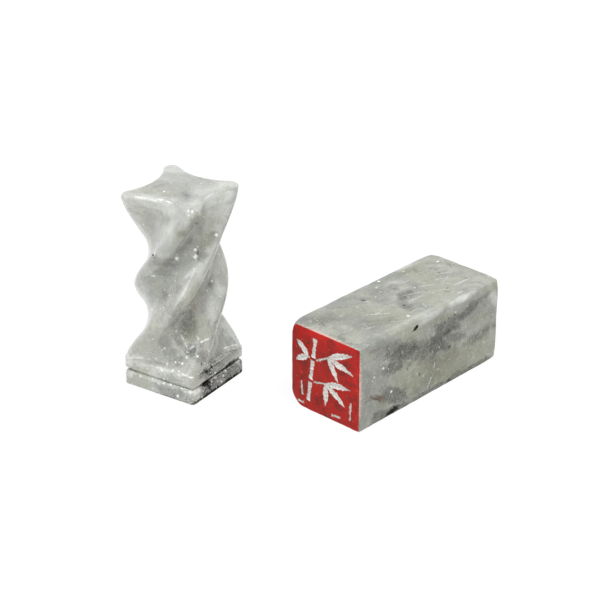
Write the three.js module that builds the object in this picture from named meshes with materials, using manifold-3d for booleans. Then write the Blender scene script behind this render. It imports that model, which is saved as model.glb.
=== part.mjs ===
// A pair of carved stone seals: a square block that lies on its side and shows its red
// carved end, and a twisted four-ridged stone that stands on a grooved square foot.
// Millimetres, +Z up. The origin is the middle of the pair's footprint, on the table.
import * as THREE from 'three';
import Module from 'manifold-3d';
import { mergeVertices } from 'three/addons/utils/BufferGeometryUtils.js';

// Block seal: the block runs along X and its carved end faces -X
const blockLength = 50;
const blockWidth = 21;
const blockHeight = 21.2;
const blockEdgeBreak = 0.4;

// Worn lower corner of the carved end, on the +Y side
const wornCornerLeg = 2.6;
const wornCornerRun = 9;

// Paint film on the carved end, and how deep the carving goes into the stone behind it
const paintThickness = 0.15;
const carvingDepth = 0.6;

// Widths of the carved strokes
const stemWidth = 1.25;
const stemWaist = 0.85;
const twigWidth = 0.4;
const leafWidth = 1.55;
const dashWidth = 0.5;

// How far a leaf bends aside, the red left between two lengths of stem, and the red left
// between the stem and what grows from it
const leafBow = 0.4;
const jointGap = 0.8;
const strokeGap = 0.35;

// Foot of the twisted seal: two square plates with a round groove between them
const footWidth = 20.3;
const footHeight = 7.3;
const footCornerRadius = 0.8;
const footEdgeBreak = 0.35;
const grooveMiddle = 4;
const grooveWidth = 2;
const grooveDepth = 1;

// Twisted column above the foot
const twistedHeight = 49.4;
const ledgeRise = 0.3;
const ledgeInset = 0.15;
const ridgeRadius = 2.8;
const topTipRadius = 2;
const topEdgeBreak = 0.3;

// The four ridges of the column, named by the foot corner that each springs from. They are
// carved by hand, so no two are alike. At the first, second and third quarter of the column's
// height and at its top: the turn from the foot corner in degrees, anticlockwise seen from
// above, and the reach from the axis
const backRidge = { turns: [40, 98, 150, 186], reaches: [11, 11.2, 11.1, 13.3] };
const leftRidge = { turns: [47, 95, 142, 181], reaches: [12.3, 10.2, 10.4, 13.8] };
const nearRidge = { turns: [38, 98, 146, 180], reaches: [10.7, 11, 10.8, 13] };
const rightRidge = { turns: [45, 97, 142, 184], reaches: [10, 10.8, 11.4, 13.5] };

// Depth of the hollows between the ridges: at the foot, at the three quarters and at the top
const hollowDepths = [2, 0.5, 1, 1.1, 2.7];

// Where the twisted seal stands, measured from the middle of the block, and its turn
const twistedOffsetX = -33.75;
const twistedOffsetY = 37.35;
const twistedTurn = 9.4;

// Facets of the twisted seal
const columnSteps = 44;
const grooveSteps = 6;
const tipPoints = 4;
const hollowPoints = 8;

const wasm = await Module();
wasm.setup();

// Turns a closed geometry into a solid that can be joined and cut
function solidFrom(geometry) {
  const bare = geometry.clone();
  bare.deleteAttribute('normal');
  bare.deleteAttribute('uv');
  const merged = mergeVertices(bare, 1e-5);
  const vertProperties = new Float32Array(merged.attributes.position.array);
  const triVerts = new Uint32Array(merged.index.array);
  return new wasm.Manifold(new wasm.Mesh({ numProp: 3, vertProperties, triVerts }));
}

function geometryFrom(solid) {
  const mesh = solid.getMesh();
  const geometry = new THREE.BufferGeometry();
  geometry.setAttribute('position', new THREE.BufferAttribute(mesh.vertProperties, 3));
  geometry.setIndex(new THREE.BufferAttribute(mesh.triVerts, 1));
  return geometry;
}

// Stands a flat drawing up in the plane of the carved end. Its first axis points to the
// reader's right, which is -Y, and its second axis points up. The extrusion runs from
// nearX towards +X.
function standUp(geometry, nearX, thickness) {
  const basis = new THREE.Matrix4().makeBasis(
    new THREE.Vector3(0, -1, 0),
    new THREE.Vector3(0, 0, 1),
    new THREE.Vector3(-1, 0, 0),
  );
  return geometry.clone().applyMatrix4(basis).translate(nearX + thickness, 0, 0);
}

// Outline of the block's end with its long edges broken, and shrunk by inset all round
function endOutline(inset) {
  const halfWidth = blockWidth / 2;
  const corner = blockEdgeBreak;
  const left = -halfWidth + inset;
  const right = halfWidth - inset;
  const bottom = inset;
  const top = blockHeight - inset;
  const outline = new THREE.Shape();
  outline.moveTo(left + corner, bottom);
  outline.lineTo(right - corner, bottom);
  outline.lineTo(right, bottom + corner);
  outline.lineTo(right, top - corner);
  outline.lineTo(right - corner, top);
  outline.lineTo(left + corner, top);
  outline.lineTo(left, top - corner);
  outline.lineTo(left, bottom + corner);
  outline.closePath();
  return outline;
}

// Wedge that takes off the worn corner. On the end face it cuts a leg of wornCornerLeg
// along the bottom and up the side, and it runs out along the edge after wornCornerRun.
function wornWedge(endX) {
  const side = blockWidth / 2;
  const alongX = new THREE.Vector3(endX + wornCornerRun, side, 0);
  const alongY = new THREE.Vector3(endX, side - wornCornerLeg, 0);
  const alongZ = new THREE.Vector3(endX, side, wornCornerLeg);
  const plane = new THREE.Plane().setFromCoplanarPoints(alongX, alongY, alongZ);
  if (plane.distanceToPoint(new THREE.Vector3(endX, side, 0)) < 0) {
    plane.negate();
  }
  const size = 4 * (wornCornerLeg + wornCornerRun);
  const turn = new THREE.Quaternion().setFromUnitVectors(new THREE.Vector3(0, 0, 1), plane.normal);
  const middle = alongX.clone().add(alongY).add(alongZ).divideScalar(3);
  middle.addScaledVector(plane.normal, size / 2);
  const wedge = new THREE.BoxGeometry(size, size, size);
  wedge.applyQuaternion(turn);
  wedge.translate(middle.x, middle.y, middle.z);
  return solidFrom(wedge);
}

// A place on the carved end, as shares of its width and height: 0, 0 is the reader's lower
// left corner and 1, 1 the upper right
function onFace(across, up) {
  return new THREE.Vector2((across - 0.5) * blockWidth, up * blockHeight);
}

// A point beside the line from start to end: share is how far along it lies, and aside how
// far to the left of it
function beside(start, end, share, aside) {
  const along = end.clone().sub(start);
  const normal = new THREE.Vector2(-along.y, along.x).normalize();
  return start.clone().addScaledVector(along, share).addScaledVector(normal, aside);
}

// A leaf, pointed at both ends and widest before its middle. A bow above 0 bends it to the left.
function leaf(start, end, bow) {
  const widest = 0.42;
  const left = beside(start, end, widest, bow + leafWidth);
  const right = beside(start, end, widest, bow - leafWidth);
  const outline = new THREE.Shape();
  outline.moveTo(start.x, start.y);
  outline.quadraticCurveTo(right.x, right.y, end.x, end.y);
  outline.quadraticCurveTo(left.x, left.y, start.x, start.y);
  return outline;
}

// A straight cut, with its own width at each end
function cut(start, end, startWidth, endWidth) {
  return new THREE.Shape([
    beside(start, end, 0, -startWidth / 2),
    beside(start, end, 1, -endWidth / 2),
    beside(start, end, 1, endWidth / 2),
    beside(start, end, 0, startWidth / 2),
  ]);
}

// One length of stem, drawn in at its middle
function stemLength(start, end) {
  const waistAside = stemWaist - stemWidth / 2;
  const right = beside(start, end, 0.5, -waistAside);
  const left = beside(start, end, 0.5, waistAside);
  const endRight = beside(start, end, 1, -stemWidth / 2);
  const endLeft = beside(start, end, 1, stemWidth / 2);
  const startLeft = beside(start, end, 0, stemWidth / 2);
  const startRight = beside(start, end, 0, -stemWidth / 2);
  const outline = new THREE.Shape();
  outline.moveTo(startRight.x, startRight.y);
  outline.quadraticCurveTo(right.x, right.y, endRight.x, endRight.y);
  outline.lineTo(endLeft.x, endLeft.y);
  outline.quadraticCurveTo(left.x, left.y, startLeft.x, startLeft.y);
  outline.closePath();
  return outline;
}

// A twig that starts clear of the stem, beside a joint, and ends in leaves. Side is 1 to the
// right of the stem and -1 to its left. The leaves' stalks start inside the twig.
function branch(joint, side, twigEnd, tips) {
  const twigStart = joint.clone();
  twigStart.x += side * (stemWidth / 2 + strokeGap);
  const leafStart = twigEnd.clone().sub(twigStart).setLength(-twigWidth).add(twigEnd);
  const leaves = tips.map((tip) => leaf(leafStart, tip, side * leafBow));
  return [cut(twigStart, twigEnd, twigWidth, twigWidth), ...leaves];
}

// The carved picture: a sprig of bamboo with three lengths of stem, two twigs with leaves
// to the right, one to the left, a young shoot on each side and dashes of ground
function carvedStrokes() {
  const foot = onFace(0.25, 0.1);
  const crown = onFace(0.36, 0.93);
  const halfGap = jointGap / 2 / foot.distanceTo(crown);
  const onStem = (share) => foot.clone().lerp(crown, share);
  const stem = [0, 1, 2].map((i) => stemLength(onStem(i / 3 + halfGap), onStem((i + 1) / 3 - halfGap)));
  const lowJoint = onStem(1 / 3);
  const highJoint = onStem(2 / 3);
  const highTips = [onFace(0.89, 0.89), onFace(0.91, 0.66), onFace(0.69, 0.5)];
  const lowTips = [onFace(0.87, 0.47), onFace(0.79, 0.24), onFace(0.51, 0.15)];
  const leftTips = [onFace(0.08, 0.82), onFace(0.07, 0.57)];
  return [
    ...stem,
    ...branch(highJoint, 1, onFace(0.55, 0.75), highTips),
    ...branch(lowJoint, 1, onFace(0.52, 0.42), lowTips),
    ...branch(highJoint, -1, onFace(0.24, 0.665), leftTips),
    cut(onFace(0.17, 0.16), onFace(0.15, 0.33), dashWidth, twigWidth),
    cut(onFace(0.87, 0.1), onFace(0.88, 0.32), dashWidth, twigWidth),
    cut(onFace(0.1, 0.075), onFace(0.19, 0.065), dashWidth, dashWidth),
    cut(onFace(0.6, 0.07), onFace(0.73, 0.085), dashWidth, dashWidth),
  ];
}

// The strokes as one solid that starts at nearX and runs towards +X
function strokeSolid(nearX, thickness) {
  const parts = carvedStrokes().map((outline) => {
    const settings = { depth: thickness, bevelEnabled: false, curveSegments: 5 };
    return solidFrom(standUp(new THREE.ExtrudeGeometry(outline, settings), nearX, thickness));
  });
  return parts.reduce((sum, part) => sum.add(part));
}

// Stone block behind the paint film, with the strokes cut into its end
function blockGeometry() {
  const stoneX = -blockLength / 2 + paintThickness;
  const stoneLength = blockLength - paintThickness;
  const settings = {
    depth: stoneLength - 2 * blockEdgeBreak,
    bevelEnabled: true,
    bevelThickness: blockEdgeBreak,
    bevelSize: blockEdgeBreak,
    bevelOffset: -blockEdgeBreak,
    bevelSegments: 1,
  };
  const extruded = new THREE.ExtrudeGeometry(endOutline(0), settings);
  extruded.translate(0, 0, blockEdgeBreak);
  const stone = solidFrom(standUp(extruded, stoneX, stoneLength));
  const outside = carvingDepth;
  const strokes = strokeSolid(stoneX - outside, outside + carvingDepth);
  return geometryFrom(stone.subtract(wornWedge(stoneX)).subtract(strokes));
}

// Film of red paint on the flat of the end, open wherever a stroke is carved
function paintGeometry() {
  const frontX = -blockLength / 2;
  const settings = { depth: paintThickness, bevelEnabled: false };
  const flat = new THREE.ExtrudeGeometry(endOutline(blockEdgeBreak), settings);
  const film = solidFrom(standUp(flat, frontX, paintThickness));
  const outside = paintThickness;
  const strokes = strokeSolid(frontX - outside, 3 * paintThickness);
  return geometryFrom(film.subtract(wornWedge(frontX + paintThickness)).subtract(strokes));
}

// One level section of the twisted seal, as points in order round the axis. It has four
// round tips, each at its own reach and turn, and four sides drawn in by hollow between them.
function section({ height, reaches, turns, hollow, radius }) {
  const meanReach = reaches.reduce((sum, reach) => sum + reach) / reaches.length;
  const sideLean = 2 * Math.atan(hollow / (meanReach / Math.SQRT2));
  const tipSpan = Math.PI / 4 + sideLean;
  const tipPoint = (tip, angle) => {
    const ridge = tip % 4;
    const middle = Math.PI / 4 + (ridge * Math.PI) / 2 + THREE.MathUtils.degToRad(turns[ridge]);
    const tipCentre = reaches[ridge] - radius;
    return new THREE.Vector2(
      tipCentre * Math.cos(middle) + radius * Math.cos(middle + angle),
      tipCentre * Math.sin(middle) + radius * Math.sin(middle + angle),
    );
  };
  const points = [];
  for (let tip = 0; tip < 4; tip += 1) {
    for (let i = 0; i <= tipPoints; i += 1) {
      points.push(tipPoint(tip, tipSpan * ((2 * i) / tipPoints - 1)));
    }
    const sideStart = tipPoint(tip, tipSpan);
    const sideEnd = tipPoint(tip + 1, -tipSpan);
    const sideLength = sideStart.distanceTo(sideEnd);
    const drawnIn = (Math.tan(sideLean / 2) * sideLength) / 2;
    for (let i = 1; i < hollowPoints; i += 1) {
      const share = i / hollowPoints;
      const depth = drawnIn * (1 - (2 * share - 1) ** 2);
      points.push(beside(sideStart, sideEnd, share, depth));
    }
  }
  return points.map((point) => new THREE.Vector3(point.x, point.y, height));
}

// Distance from the axis to a corner of the foot that is shrunk by inset all round
function footReach(inset) {
  return (footWidth / 2 - inset - footCornerRadius) * Math.SQRT2 + footCornerRadius;
}

// A square section of the foot, shrunk by inset all round
function footSection(height, inset) {
  const reaches = Array(4).fill(footReach(inset));
  const turns = Array(4).fill(0);
  return section({ height, reaches, turns, hollow: 0, radius: footCornerRadius });
}

// Value at a share of the column's height, on a smooth curve through its quarter heights
function smoothThrough(values) {
  const quarters = new Float32Array([0, 0.25, 0.5, 0.75, 1]);
  const curve = new THREE.CubicInterpolant(quarters, new Float32Array(values), 1);
  return (share) => curve.evaluate(share)[0];
}

// The ridges keep one radius up to the shoulder and get sharper from there to the top
function ridgeRadiusAt(share) {
  const shoulder = 0.6;
  const above = Math.max(0, (share - shoulder) / (1 - shoulder));
  return THREE.MathUtils.lerp(ridgeRadius, topTipRadius, above);
}

function columnSections() {
  const bottom = footHeight + ledgeRise;
  const top = twistedHeight - topEdgeBreak;
  const ridges = [backRidge, leftRidge, nearRidge, rightRidge];
  const springReach = footReach(0) - ledgeInset;
  const turnsAt = ridges.map((ridge) => smoothThrough([0, ...ridge.turns]));
  const reachesAt = ridges.map((ridge) => smoothThrough([springReach, ...ridge.reaches]));
  const hollowAt = smoothThrough(hollowDepths);
  const columnSection = (share, height, inset) => section({
    height,
    reaches: reachesAt.map((reachAt) => reachAt(share) - inset),
    turns: turnsAt.map((turnAt) => turnAt(share)),
    hollow: hollowAt(share),
    radius: ridgeRadiusAt(share) - inset,
  });
  const sections = [];
  for (let step = 0; step <= columnSteps; step += 1) {
    const share = step / columnSteps;
    sections.push(columnSection(share, THREE.MathUtils.lerp(bottom, top, share), 0));
  }
  sections.push(columnSection(1, twistedHeight, topEdgeBreak));
  return sections;
}

function footSections() {
  const sections = [footSection(0, footEdgeBreak), footSection(footEdgeBreak, 0)];
  for (let step = 0; step <= grooveSteps; step += 1) {
    const share = step / grooveSteps;
    const height = grooveMiddle + grooveWidth * (share - 0.5);
    sections.push(footSection(height, grooveDepth * Math.sin(Math.PI * share)));
  }
  sections.push(footSection(footHeight - footEdgeBreak, 0));
  sections.push(footSection(footHeight, footEdgeBreak));
  return sections;
}

// Joins level sections with equal numbers of points into one closed skin
function skinOver(sections) {
  const count = sections[0].length;
  const positions = sections.flat().flatMap((point) => point.toArray());
  const middles = [sections[0], sections[sections.length - 1]].map((ring) => {
    const sum = ring.reduce((total, point) => total.add(point), new THREE.Vector3());
    return sum.divideScalar(count);
  });
  const soleMiddle = sections.length * count;
  const topMiddle = soleMiddle + 1;
  middles.forEach((point) => positions.push(...point.toArray()));
  const faces = [];
  for (let level = 0; level < sections.length - 1; level += 1) {
    for (let i = 0; i < count; i += 1) {
      const next = (i + 1) % count;
      const low = level * count;
      const high = low + count;
      faces.push(low + i, low + next, high + next);
      faces.push(low + i, high + next, high + i);
    }
  }
  const lastRing = (sections.length - 1) * count;
  for (let i = 0; i < count; i += 1) {
    const next = (i + 1) % count;
    faces.push(soleMiddle, next, i);
    faces.push(topMiddle, lastRing + i, lastRing + next);
  }
  const geometry = new THREE.BufferGeometry();
  geometry.setAttribute('position', new THREE.Float32BufferAttribute(positions, 3));
  geometry.setIndex(faces);
  return geometry;
}

function twistedGeometry() {
  return skinOver([...footSections(), ...columnSections()]);
}

function piece(name, geometry, color, roughness) {
  geometry.computeVertexNormals();
  const material = new THREE.MeshStandardMaterial({ color, roughness, metalness: 0 });
  const mesh = new THREE.Mesh(geometry, material);
  mesh.name = name;
  return mesh;
}

const blockGroup = new THREE.Group();
blockGroup.add(piece('block_seal', blockGeometry(), '#b3b4ad', 0.45));
blockGroup.add(piece('red_face_paint', paintGeometry(), '#c0332b', 0.5));

const twistedGroup = new THREE.Group();
twistedGroup.position.set(twistedOffsetX, twistedOffsetY, 0);
twistedGroup.rotation.z = THREE.MathUtils.degToRad(twistedTurn);
twistedGroup.add(piece('twisted_seal', twistedGeometry(), '#bcbdb7', 0.35));

// The pair is moved so that the middle of its footprint is the origin
const sealPair = new THREE.Group();
sealPair.add(blockGroup, twistedGroup);
const middle = new THREE.Box3().setFromObject(sealPair, true).getCenter(new THREE.Vector3());
sealPair.position.set(-middle.x, -middle.y, 0);
sealPair.updateMatrixWorld(true);

export default sealPair;
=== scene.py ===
"""Looks of a pair of carved marble seal stamps.

A twisted, four-ridged seal stands on its grooved foot, and a square block seal lies beside
it with its red, carved end to the viewer. Each seal is one stone, and the red paint on the
carved end is a thin film of its own.
"""

import math
from typing import NamedTuple

import bmesh
import bpy
from bpy.props import FloatProperty, FloatVectorProperty, PointerProperty
from mathutils import Matrix, Vector, noise


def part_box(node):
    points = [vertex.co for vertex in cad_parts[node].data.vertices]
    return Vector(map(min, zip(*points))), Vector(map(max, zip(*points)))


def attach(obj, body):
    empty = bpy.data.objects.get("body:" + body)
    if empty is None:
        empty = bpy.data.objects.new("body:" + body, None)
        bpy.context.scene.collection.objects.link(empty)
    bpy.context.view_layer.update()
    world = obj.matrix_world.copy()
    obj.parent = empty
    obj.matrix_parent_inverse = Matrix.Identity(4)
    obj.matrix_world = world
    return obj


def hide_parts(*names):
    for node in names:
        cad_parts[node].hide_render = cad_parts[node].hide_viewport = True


bl_info = {
    "name": "Marble Seal Stamps",
    "version": (1, 0, 0),
    "blender": (4, 5, 0),
    "location": "View3D > Sidebar > Seal Stamps",
    "description": "Carves a pair of marble seal stamps on their packed frame",
    "category": "Add Mesh",
}

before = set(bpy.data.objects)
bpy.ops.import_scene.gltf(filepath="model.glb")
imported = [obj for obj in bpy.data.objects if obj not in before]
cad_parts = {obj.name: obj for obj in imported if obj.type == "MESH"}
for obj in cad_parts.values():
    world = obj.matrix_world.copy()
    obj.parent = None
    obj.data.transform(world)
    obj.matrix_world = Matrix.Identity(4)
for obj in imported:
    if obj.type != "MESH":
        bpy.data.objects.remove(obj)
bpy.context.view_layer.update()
STONE_LOW, STONE_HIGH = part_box("block_seal")
FILM_LOW, FILM_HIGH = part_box("red_face_paint")
TWISTED_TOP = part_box("twisted_seal")[1].z

MM = 0.001

# Columns of the twisted seal's skin: steps round one ridge, and from it to the next ridge
RIDGE_STEPS = 12
SIDE_STEPS = 40

# Levels of the twisted seal's skin
COLUMN_LEVELS = 236
TOP_LEVELS = 22

# Strip along the block's edges where its points lie close together, to round them
EDGE_ZONE = 1.3 * MM

# Width of the soft change from the worn corner's plane to the faces round it
WORN_RIM = 1.2 * MM

# Seed of the strokes' ragged edges, the same in the stone and in the paint over it
STROKE_SEED = 3

# Edges that turn by more than this stay sharp
SHARP_ANGLE = math.radians(35)

# Node settings that are used again and again
EASED = {"interpolation_type": "SMOOTHSTEP"}
MIX_COLOURS = {"data_type": "RGBA"}
TIMES = {"operation": "MULTIPLY"}
TIMES_PLUS = {"operation": "MULTIPLY_ADD"}
PLUS = {"operation": "ADD"}
MINUS = {"operation": "SUBTRACT"}
HIGHEST = {"operation": "MAXIMUM"}

# A Mix node's colour sockets go by number, because they share their names with others
SHARE, BELOW, ABOVE = 0, 6, 7
MIXED = 2


def linear(hex_colour):
    """Linear colour of an sRGB hex value."""
    channels = [int(hex_colour[i:i + 2], 16) / 255 for i in (1, 3, 5)]
    return tuple(c / 12.92 if c <= 0.04045 else ((c + 0.055) / 1.055) ** 2.4 for c in channels)


def length(name, description, millimetres):
    """A length that the user can set, with its default given in millimetres."""
    return FloatProperty(name=name, description=description, default=millimetres * MM, unit="LENGTH")


def colour(name, description, hex_colour):
    """A colour that the user can set, with its default given as an sRGB hex value."""
    return FloatVectorProperty(
        name=name, description=description, default=linear(hex_colour), subtype="COLOR", min=0, max=1
    )


def power(name, description, watts):
    """A lamp's power that the user can set."""
    return FloatProperty(name=name, description=description, default=watts, unit="POWER")


def ridge_turns(name, *degrees):
    """A ridge's turn from its foot corner at the three quarters of the column and at its top."""
    return FloatVectorProperty(
        name=name + " turns",
        description="Turn from the foot corner at each quarter of the column's height",
        default=[math.radians(angle) for angle in degrees],
        size=len(degrees),
        unit="ROTATION",
    )


def ridge_reaches(name, *millimetres):
    """A ridge's distance from the axis at the three quarters of the column and at its top."""
    return FloatVectorProperty(
        name=name + " reaches",
        description="Distance from the axis at each quarter of the column's height",
        default=[reach * MM for reach in millimetres],
        size=len(millimetres),
        unit="LENGTH",
    )


class TwistedSealSizes(bpy.types.PropertyGroup):
    """Sizes of the twisted seal."""

    foot_width: length("Foot width", "Width of the square foot", 20.3)
    foot_height: length("Foot height", "Height of the two plates of the foot", 7.3)
    foot_corner: length("Foot corner radius", "Radius of the foot's upright corners", 0.9)
    foot_edge: length("Foot edge radius", "Radius of the foot's lowest edge", 0.35)
    ledge_edge: length("Ledge edge radius", "Radius of the foot's highest edge", 0.7)
    groove_edge: length("Groove edge radius", "Radius of the upper plate's edge at the groove", 0.6)
    lower_lip: length("Lower lip radius", "Radius of the lower plate's edge at the groove", 0.9)
    groove_middle: length("Groove height", "Height of the middle of the groove", 4.0)
    groove_width: length("Groove width", "Height of the groove inside its round edges", 0.5)
    groove_depth: length("Groove depth", "How deep the groove is cut", 1.0)
    ledge_rise: length("Ledge rise", "Rise of the ledge from the foot to the column", 0.3)
    ledge_inset: length("Ledge inset", "How far the ridges start inside the foot's corners", 0.4)
    ridge_radius: length("Ridge radius", "Radius of the ridges below the shoulder", 2.8)
    tip_radius: length("Tip radius", "Radius of the four tips at the top", 2.0)
    top_edge: length("Top edge radius", "Radius of the edge round the top", 0.85)
    front_tip_edge: length("Front tip radius", "Radius of the top's edge at its front tip", 2.0)
    wobble: length("Wobble", "How far the hand-rubbed surface strays", 0.09)
    back_turns: ridge_turns("Back ridge", 40, 98, 150, 186)
    left_turns: ridge_turns("Left ridge", 47, 95, 142, 181)
    near_turns: ridge_turns("Near ridge", 38, 98, 146, 180)
    right_turns: ridge_turns("Right ridge", 45, 97, 142, 184)
    back_reaches: ridge_reaches("Back ridge", 11, 11.2, 11.1, 13.3)
    left_reaches: ridge_reaches("Left ridge", 12.3, 10.2, 10.4, 13.8)
    near_reaches: ridge_reaches("Near ridge", 10.7, 11, 10.8, 13.8)
    right_reaches: ridge_reaches("Right ridge", 10, 10.8, 11.4, 13.5)
    hollow_depths: FloatVectorProperty(
        name="Hollow depths",
        description="Depth of the hollows at the foot, at the three quarters and at the top",
        default=[depth * MM for depth in (2, 0.5, 1, 1.1, 2.7)],
        size=5,
        unit="LENGTH",
    )
    turn: FloatProperty(
        name="Turn",
        description="Turn of the foot on the table",
        default=math.radians(9.4),
        unit="ROTATION",
    )


class BlockSealSizes(bpy.types.PropertyGroup):
    """Sizes of the block seal and of the strokes carved into its end."""

    edge_radius: length("Edge radius", "Radius of the block's edges", 0.3)
    soft_edge: length("Soft edge radius", "Radius of the upper near long edge", 0.75)
    far_edge: length("Far edge radius", "Radius of the farther upright edge at the plain end", 1.0)
    left_edge: length("Left edge radius", "Radius of the carved end's left upright edge", 0.45)
    left_corner: length("Left corner radius", "Radius of the carved end's upper left corner", 1.2)
    worn_leg: length("Worn corner leg", "How much of the carved end the worn corner takes", 2.6)
    worn_run: length("Worn corner run", "How far the worn corner runs along the block", 9.0)
    film_inset: length("Film inset", "Bare rim of stone round the paint film", 0.16)
    carving_depth: length("Carving depth", "Depth of the widest carved strokes", 0.6)
    stem_width: length("Stem width", "Width of a length of stem at its ends", 1.25)
    stem_waist: length("Stem waist", "Width of a length of stem at its middle", 0.85)
    twig_width: length("Twig width", "Width of a twig", 0.4)
    leaf_width: length("Leaf width", "Width of a leaf", 1.55)
    dash_width: length("Dash width", "Width of a dash of ground", 0.5)
    leaf_bow: length("Leaf bow", "How far a leaf bends aside", 0.4)
    joint_gap: length("Joint gap", "Red left between two lengths of stem", 0.8)
    stroke_gap: length("Stroke gap", "Red left between the stem and a twig", 0.35)
    raggedness: length("Raggedness", "How far a carved edge strays", 0.26)


class SealColours(bpy.types.PropertyGroup):
    """Colours of the stones and of the paint."""

    pale: colour("Pale marble", "Lightest ground of the twisted seal's marble", "#D3D4CD")
    grey: colour("Grey marble", "Darker ground of the twisted seal's marble", "#B0B1AC")
    block_pale: colour("Block pale marble", "Lightest ground of the block's marble", "#B4B5AA")
    block_grey: colour("Block grey marble", "Darker ground of the block's marble", "#91928C")
    # Milky white is also the colour of the painted highlights and painted light on the seals
    milky: colour("Milky marble", "White patches and frosted edges", "#E4E5E0")
    olive: colour("Olive tint", "Warm greenish tint in the marble", "#A6A692")
    # The olive stain also serves as painted shade down the twisted seal's near ridge and in its grooves
    olive_stain: colour("Olive stain", "Deeper warm greenish stain in the marble", "#8A8B6E")
    # Dark graphite also serves as painted shade in the twisted seal's hollows and grooves and along the
    # block's edge on the table
    dark: colour("Dark vein", "Graphite in the veins and clouds", "#484941")
    # Black also serves as painted shade in the twisted seal's groove and along its lower edge
    black: colour("Black speck", "Graphite in the darkest specks and cracks", "#2A2A27")
    rust: colour("Rusty stain", "Iron stain in the marble", "#6A5242")
    # Stone powder also serves as painted highlights and glints on the twisted seal's edges
    powder: colour("Stone powder", "Freshly cut and chipped marble", "#F4F3EF")
    red: colour("Seal red", "Paint on the carved end", "#AE190F")
    fresh: colour("Fresh red", "Paint that lies thick at the edges of the end", "#D01D13")
    maroon: colour("Rubbed red", "Paint rubbed thin", "#7A2620")
    pink: colour("Paint smear", "Paint dust rubbed into the bare rim", "#DDBDB4")


class StudioSettings(bpy.types.PropertyGroup):
    """Light and camera."""

    key_power: power("Key light", "Power of the lamp above the camera side", 3.2)
    edge_power: power("Edge light", "Power of the lamp above and behind", 1.4)
    rim_power: power("Rim light", "Power of the small lamp for the foot's edges", 0.8)
    side_power: power("Side lights", "Power of each lamp at the sides", 0.85)
    fill_strength: FloatProperty(
        name="Fill", description="Strength of the light from all round", default=0.42
    )
    lens: FloatProperty(
        name="Lens", description="Focal length in millimetres", default=122.57, unit="CAMERA"
    )


def add_node(tree, kind, settings=None, inputs=None):
    """Adds a node, sets it up, links or fills its inputs, and gives its outputs."""
    node = tree.nodes.new(kind)
    for name, value in (settings or {}).items():
        setattr(node, name, value)
    for socket, value in (inputs or {}).items():
        if isinstance(value, bpy.types.NodeSocket):
            tree.links.new(value, node.inputs[socket])
        else:
            node.inputs[socket].default_value = value
    return node.outputs


def opaque(rgb):
    """A colour with full alpha, as colour sockets want it."""
    return (*rgb, 1.0)


def new_tree(name):
    """An empty material and its node tree."""
    material = bpy.data.materials.new(name)
    material.use_nodes = True
    material.node_tree.nodes.clear()
    return material, material.node_tree


def millimetre_place(tree):
    """Object coordinates in millimetres, so that pattern scales are one over a real size."""
    coordinates = add_node(tree, "ShaderNodeTexCoord")
    per_metre = 1 / MM
    return add_node(
        tree,
        "ShaderNodeMapping",
        inputs={"Vector": coordinates["Object"], "Scale": (per_metre, per_metre, per_metre)},
    )["Vector"]


def patches(tree, place, size, low, high, detail=2, roughness=0.5, least=0, most=1):
    """Patches of cloudy noise, with features of this size in millimetres.

    The noise between low and high is eased at both ends and given as least to most.
    """
    cloudy = add_node(
        tree,
        "ShaderNodeTexNoise",
        inputs={"Vector": place, "Scale": 1 / size, "Detail": detail, "Roughness": roughness},
    )["Fac"]
    return add_node(
        tree,
        "ShaderNodeMapRange",
        EASED,
        {"Value": cloudy, "From Min": low, "From Max": high, "To Min": least, "To Max": most},
    )["Result"]


class Mark(NamedTuple):
    """One cloud, vein, speck, scratch, painted highlight or painted shade: an ellipsoid in the stone, in
    millimetres.
    """

    start: Vector
    end: Vector
    width: float
    strength: float
    core: float


def streak(start, end, width, strength=1.0, core=0.0):
    """A mark from start to end. It is full within the core share of its size."""
    return Mark(start, end, width, strength, core)


def blot(place, width, strength=1.0, core=0.0):
    """A round mark."""
    return Mark(place, place, width, strength, core)


def frost_and_glints(start, end, count, width, scatter):
    """White flecks strewn along an edge from start to end, as rough grinding leaves them, that also
    stand as painted glints.
    """
    step = (end - start) / count
    flecks = []
    for i in range(count):
        # The noise is read at places far enough apart for its values to be unlike
        stray = Vector([noise.noise(Vector((i * 1.37, axis * 5.1, 0.4))) for axis in range(3)])
        place = start + step * (i + 0.5) + stray * 2 * scatter
        size = width * (1 + noise.noise(Vector((i * 2.3, 7.7, 0.4))))
        flecks.append(streak(place, place + step * 0.25, size, 1, 0.3))
    return flecks


def marked(tree, place, rag, marks):
    """How strongly any of the marks shows at a place. Rag is noise that frays their edges."""
    total = None
    half_rag = add_node(tree, "ShaderNodeMath", TIMES, {0: rag, 1: 0.5})[0]
    for mark in marks:
        along = mark.end - mark.start
        # Own space of the mark, where it reaches half way out of a unit ball
        local = add_node(
            tree,
            "ShaderNodeMapping",
            {"vector_type": "TEXTURE"},
            {
                "Vector": place,
                "Location": (mark.start + mark.end) / 2,
                "Rotation": along.to_track_quat("X", "Z").to_euler(),
                "Scale": (along.length + 2 * mark.width, 2 * mark.width, 2 * mark.width),
            },
        )["Vector"]
        inward = add_node(
            tree, "ShaderNodeTexGradient", {"gradient_type": "SPHERICAL"}, {"Vector": local}
        )["Fac"]
        frayed = add_node(tree, "ShaderNodeMath", MINUS, {0: inward, 1: half_rag})[0]
        shown = add_node(
            tree,
            "ShaderNodeMapRange",
            EASED,
            {"Value": frayed, "From Min": 0.5, "From Max": 1 - mark.core / 2, "To Max": mark.strength},
        )["Result"]
        if total is None:
            total = shown
        else:
            total = add_node(tree, "ShaderNodeMath", HIGHEST, {0: total, 1: shown})[0]
    return total


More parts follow.
